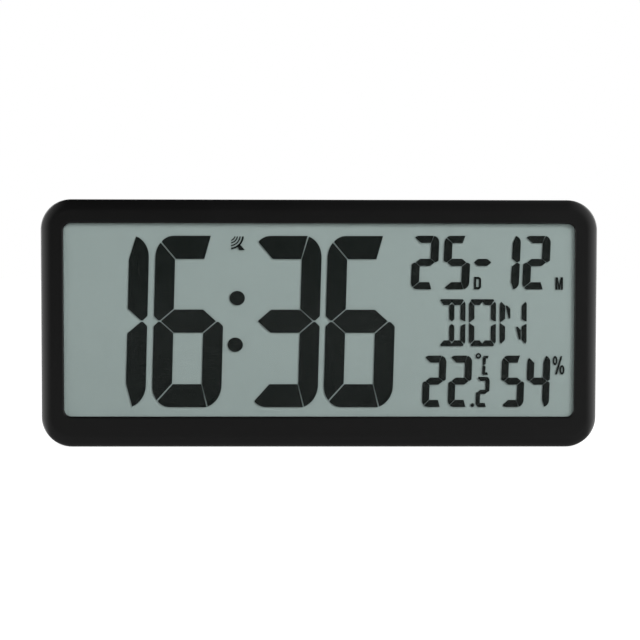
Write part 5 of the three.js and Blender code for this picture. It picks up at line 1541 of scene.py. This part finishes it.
def cell(node, nub_left):
    ends, middle, r = rect_of(node), middle_of(node), BATTERY_RADIUS
    length, flat = ends.width, r - CELL_EDGE
    turns = quarter_turn()
    profile = [(0, r - END_INSET), (END_RISE, r - END_INSET)]
    low, high = END_RISE + CELL_EDGE, length - SHOULDER - CELL_EDGE
    profile += [(low - CELL_EDGE * math.cos(turn), flat + CELL_EDGE * math.sin(turn)) for turn in turns]
    profile += [(high + CELL_EDGE * math.sin(turn), flat + CELL_EDGE * math.cos(turn)) for turn in turns]
    profile += [(length - SHOULDER, NUB_RADIUS), (length - NUB_EDGE, NUB_RADIUS),
                (length, NUB_RADIUS - NUB_EDGE)]
    if nub_left:
        profile = [(ends.right - s, radius) for s, radius in profile]
    else:
        profile = [(ends.left + s, radius) for s, radius in profile[::-1]]
    made = turned_across(profile, middle.y, middle.z, TURNED_SIDES)
    uv = made.data.uv_layers.new(name="wrap")
    for loop in made.data.loops:
        x, y, z = made.data.vertices[loop.vertex_index].co / MM
        along = (ends.right - x) / length if nub_left else (x - ends.left) / length
        uv.data[loop.index].uv = (math.atan2(z - middle.z, y - middle.y) / (2 * math.pi) + 0.5, along)
    return made


piece(cell("upper_battery", True), "upper_cell", "case", "battery_wrap", "upper_battery")
piece(cell("lower_battery", False), "lower_cell", "case", "battery_wrap", "lower_battery")

# %% [markdown]
# ## Springs, winding and screws
#
# A spring, a wound coil and a screw thread are all the same thing: a wire along a spiral. Geometry Nodes
# have a spiral curve whose radius can change on its way, and a second curve as the wire's section turns it
# into a mesh. One tree makes them all, and stands them up along the direction that its Turn input gives.

# %% Spiral wires
TO_RIGHT = (0, math.pi / 2, 0)
TO_LEFT = (0, -math.pi / 2, 0)
TO_BACK = (-math.pi / 2, 0, 0)


def spiral_tree():
    tree, given, out = geometry_tree("spiral_wire", [
        "Turns", "Start radius", "End radius", "Height", "Wire radius"], ["Wire sides", "Steps"], ["Turn"])
    path = tap(tree, "CurveSpiral", Resolution=given["Steps"], Rotations=given["Turns"],
               Height=given["Height"], Start_Radius=given["Start radius"], End_Radius=given["End radius"])
    section = tap(tree, "CurvePrimitiveCircle", Resolution=given["Wire sides"], Radius=given["Wire radius"])
    wire = tap(tree, "CurveToMesh", Curve=path, Profile_Curve=section, Fill_Caps=True)
    finish_tree(given, out, tap(tree, "Transform", Geometry=wire, Rotation=given["Turn"]))
    return tree


SPIRAL = spiral_tree()


def spiral(at, turns, start, end, height, wire, finish, turn, sides=8, steps=24):
    numbers = dict(Turns=turns, Wire_sides=sides, Steps=steps, Turn=turn)
    made = grown_mesh("spiral", SPIRAL, finish, [at], numbers, Start_radius=start, End_radius=end,
                      Height=height, Wire_radius=wire)
    return edit_mesh(made, close)


def join_objects(whole, part):
    """Puts two closed meshes into one, without cutting them against each other."""
    edit_mesh(whole, lambda mesh: mesh.from_mesh(part.data))
    discard(part)
    return whole


print("spiral tree has", len(SPIRAL.nodes), "nodes")

# %% Contacts
CONTACT_HALF = 5.0
BOSS_RADIUS = 3.0
BOSS_RISE = 1.2
TAIL_OUT = 3
TAIL_HALF = 1.3
PLATE_OUT = BAY.width / 2 - GAP
PLATE_IN = PLATE_OUT - CONTACT_THICK
SPRING_WIRE = 0.45
SPRING_BASE = 4.2
SPRING_TIP = 2.7
SPRING_TURNS = 4


def contact(side, rows, boss_row=None, spring_row=None, tail_row=None):
    """A plate at the left (-1) or the right (1) end of the bay, with what its cells need."""
    def span(*reaches):
        return sorted(BAY_MIDDLE + side * reach for reach in reaches)

    plate = Rect(*span(PLATE_IN, PLATE_OUT), min(rows) - CONTACT_HALF, max(rows) + CONTACT_HALF)
    added = []
    if boss_row is not None:
        added.append(bar(BOSS_RADIUS, *span(PLATE_IN + FUSE, PLATE_IN - BOSS_RISE), BATTERY_Y, boss_row))
    if tail_row is not None:
        start = BAY.left + GAP
        tail = Rect(BAY.left - BAY_WALL - TAIL_OUT, start + CONTACT_THICK / 2, tail_row - TAIL_HALF,
                    tail_row + TAIL_HALF)
        added += [body(tail, TAIL_Y, TAIL_Y + CONTACT_THICK),
                  body(tail._replace(left=start, right=start + CONTACT_THICK), TAIL_Y, BATTERY_Y)]
    made = carve(body(plate, BATTERY_Y - CONTACT_HALF, BATTERY_Y + CONTACT_HALF), added=added)
    if spring_row is None:
        return made
    start = BAY_MIDDLE + side * (PLATE_OUT - CONTACT_THICK / 2)
    tip = rect_of("lower_battery").left - GAP if side < 0 else rect_of("upper_battery").right + GAP
    coil = spiral((start, BATTERY_Y, spring_row), SPRING_TURNS, SPRING_BASE, SPRING_TIP,
                  abs(tip - start) - SPRING_WIRE, SPRING_WIRE, "steel", TO_RIGHT if side < 0 else TO_LEFT)
    return join_objects(made, coil)


UPPER, LOWER = CELL_ROWS
plus = contact(-1, [UPPER], boss_row=UPPER, tail_row=UPPER)
piece(plus, "plus_contact", "case", "steel", "positive_contact")
minus = contact(-1, [LOWER], spring_row=LOWER, tail_row=LOWER)
piece(minus, "minus_contact", "case", "steel", "negative_contact")
bridge = contact(1, [LOWER, UPPER], boss_row=LOWER, spring_row=UPPER)
piece(bridge, "bridge", "case", "steel", "bridge_contact")

# %% Aerial winding
WINDING_WIRE = 0.3
WINDING_TURNS = 66
WIRE_SUNK = 1.6
ROD_CLEAR = 0.1

coil, axis = rect_of("aerial_coil"), middle_of("aerial_coil")
coil_radius = coil.height / 2
winding = spiral((coil.left + WINDING_WIRE, axis.y, axis.z), WINDING_TURNS, coil_radius - WINDING_WIRE,
                 coil_radius - WINDING_WIRE, coil.width - 2 * WINDING_WIRE, WINDING_WIRE, "copper_wire",
                 TO_RIGHT, 6, 20)
former = bar(coil_radius - WIRE_SUNK * WINDING_WIRE, coil.left, coil.right, axis.y, axis.z)
rod_hole = bar(rect_of("ferrite_rod").top - axis.z + ROD_CLEAR, coil.left - OVERCUT, coil.right + OVERCUT,
               axis.y, axis.z)
former = carve(former, removed=[rod_hole])
piece(join_objects(former, winding), "winding", "case", "copper_wire", "aerial_coil")

# %% [markdown]
# A screw adds a head with a cross recess to its spiral. The head is a cylinder cut to the shape of a pan by
# a large sphere, and the recess is two crossed bars cut from it. All eleven screws come from one tree: the
# five that hold the cover, the four of the tray and the two of the circuit board differ only in their
# sizes.

# %% Screw tree
SCREW_SIZES = ["Head radius", "Head height", "Shank radius", "Shank length", "Recess width", "Recess reach",
               "Recess depth", "Thread pitch", "Thread depth"]
HEAD_SIDES = 40
DOME_RINGS = 48
DOME_SHARE = 1.9
TIP_SHARE = 1.2
TIP_END_SHARE = 0.15
THREAD_STEPS = 20
THREAD_SIDES = 4


def screw_tree():
    tree, given, out = geometry_tree("cross_screw", SCREW_SIZES)
    head_radius, height, shank_radius, length, width, reach, depth, pitch, ridge = [
        given[name] for name in SCREW_SIZES]

    def moved(geometry, z):
        return tap(tree, "Transform", Geometry=geometry, Translation=vector(tree, Z=z))

    def cylinder(radius, length, sides):
        return tap(tree, "MeshCylinder", Vertices=sides, Radius=radius, Depth=length)

    def gather(kind, socket, parts, **named):
        """A node that takes several parts in one socket."""
        made = add(tree, kind, **named)
        for part in parts:
            fill(made.inputs[socket], part)
        return Tap(made.outputs[0])

    def solids(operation, parts, **named):
        return gather("MeshBoolean", "Mesh 2", parts, operation=operation, solver="MANIFOLD", **named)

    dome = head_radius * DOME_SHARE
    pan = moved(tap(tree, "MeshUVSphere", Segments=HEAD_SIDES, Rings=DOME_RINGS, Radius=dome), height - dome)
    head = solids("INTERSECT", [moved(cylinder(head_radius, height, HEAD_SIDES), height * 0.5), pan])
    slots = [moved(tap(tree, "MeshCube", Size=vector(tree, X=across, Y=up, Z=depth * 2.0)), height)
             for across, up in ((width, reach), (reach, width))]
    head = solids("DIFFERENCE", slots, Mesh_1=head)
    core, tip = shank_radius - ridge, shank_radius * TIP_SHARE
    straight = length - tip
    shank = moved(cylinder(core, straight, PILOT_SIDES), straight * -0.5)
    point = tap(tree, "MeshCone", Vertices=PILOT_SIDES, Radius_Top=core, Radius_Bottom=core * TIP_END_SHARE,
                Depth=tip)
    path = tap(tree, "CurveSpiral", Resolution=THREAD_STEPS, Rotations=straight / pitch, Start_Radius=core,
               End_Radius=core, Height=straight)
    section = tap(tree, "CurvePrimitiveCircle", Resolution=THREAD_SIDES, Radius=ridge)
    thread = tap(tree, "CurveToMesh", Curve=path, Profile_Curve=section, Fill_Caps=True)
    solid = solids("UNION", [head, shank, moved(point, length * -1.0)])
    whole = gather("JoinGeometry", "Geometry", [solid, moved(thread, straight * -1.0)])
    finish_tree(given, out, tap(tree, "Transform", Geometry=whole, Rotation=TO_BACK))
    return tree


SCREW = screw_tree()
print("screw tree has", len(SCREW.nodes), "nodes")

# %% Screws
COVER_HEAD = (HEAD_RADIUS, 1.9)
SMALL_HEAD = (2.2, 1.4)


def screws(name, nodes, head, shank_radius, pitch):
    head_radius, head_height = head
    front, back = front_of(nodes[0]), back_of(nodes[0])
    seats = [(x, back - head_height, z) for x, z in places(nodes)]
    made = grown_mesh(name, SCREW, "steel", seats, Head_radius=head_radius, Head_height=head_height,
                      Shank_radius=shank_radius, Shank_length=back - front - head_height,
                      Recess_width=0.3 * head_radius, Recess_reach=1.15 * head_radius,
                      Recess_depth=0.55 * head_height, Thread_pitch=pitch, Thread_depth=0.2 * shank_radius)
    piece(made, name, "case", "steel", *nodes)


screws("cover_screws", COVER_SCREWS, COVER_HEAD, COVER_SHANK_RADIUS, 1.1)
screws("tray_screws", TRAY_SCREWS, SMALL_HEAD, SMALL_SHANK_RADIUS, 0.8)
screws("board_screws", BOARD_SCREWS, SMALL_HEAD, SMALL_SHANK_RADIUS, 0.8)

# %% [markdown]
# ## Small parts on the circuit board
#
# A board also carries a scatter of resistors and capacitors. They are the same little block many times, at
# places that look random but never change: points are spread over a patch of the board with a fixed seed
# and a least distance, and each gets a block of a slightly different length.

# %% Scattered parts
MOST_PARTS = 60000.0
LEAST_SHAPE = (0.7, 1.0, 0.8)
MOST_SHAPE = (1.5, 1.0, 1.2)
PATCH_X, PATCH_Z = 28.0, 24.0
PATCH_WIDTH, PATCH_HEIGHT = 36, 14
PART_LENGTH, PART_WIDTH, PART_HEIGHT = 1.8, 1.0, 0.7
LEAST_DISTANCE = 3.2


def scatter_tree():
    tree, given, out = geometry_tree("board_parts", [
        "Patch width", "Patch height", "Least distance", "Part length", "Part width", "Part height"],
        ["Seed"])
    patch = tap(tree, "MeshGrid", Size_X=given["Patch width"], Size_Y=given["Patch height"], Vertices_X=2,
                Vertices_Y=2)
    laid = tap(tree, "Transform", Geometry=patch, Rotation=TO_BACK)
    spread = tap(tree, "DistributePointsOnFaces", Mesh=laid, Distance_Min=given["Least distance"],
                 Density_Max=MOST_PARTS, Seed=given["Seed"], distribute_method="POISSON")
    size = vector(tree, X=given["Part length"], Y=given["Part height"], Z=given["Part width"])
    shape = tap(tree, "RandomValue", Min=LEAST_SHAPE, Max=MOST_SHAPE, Seed=4, data_type="FLOAT_VECTOR",
                pick="Value")
    finish_tree(given, out, on_points(spread, tap(tree, "MeshCube", Size=size), Scale=shape))
    return tree


board_back = back_of("board_screw_1") - SMALL_HEAD[1] - GAP
middle = (PATCH_X, board_back + PART_HEIGHT / 2, PATCH_Z)
parts = grown_mesh("small_parts", scatter_tree(), "dark_epoxy", [middle], {"Seed": 7},
                   Patch_width=PATCH_WIDTH, Patch_height=PATCH_HEIGHT, Least_distance=LEAST_DISTANCE,
                   Part_length=PART_LENGTH, Part_width=PART_WIDTH, Part_height=PART_HEIGHT)
piece(parts, "board_parts", "case", "dark_epoxy")

# %% Finishing touches
for item in frame["record"]["subparts"]:
    mesh = frame["nodes"][item["node"]].data
    mesh.materials.clear()
    mesh.materials.append(FINISHES[item["material_slot"]])
print("finished", len(frame["nodes"]), "nodes of the frame")
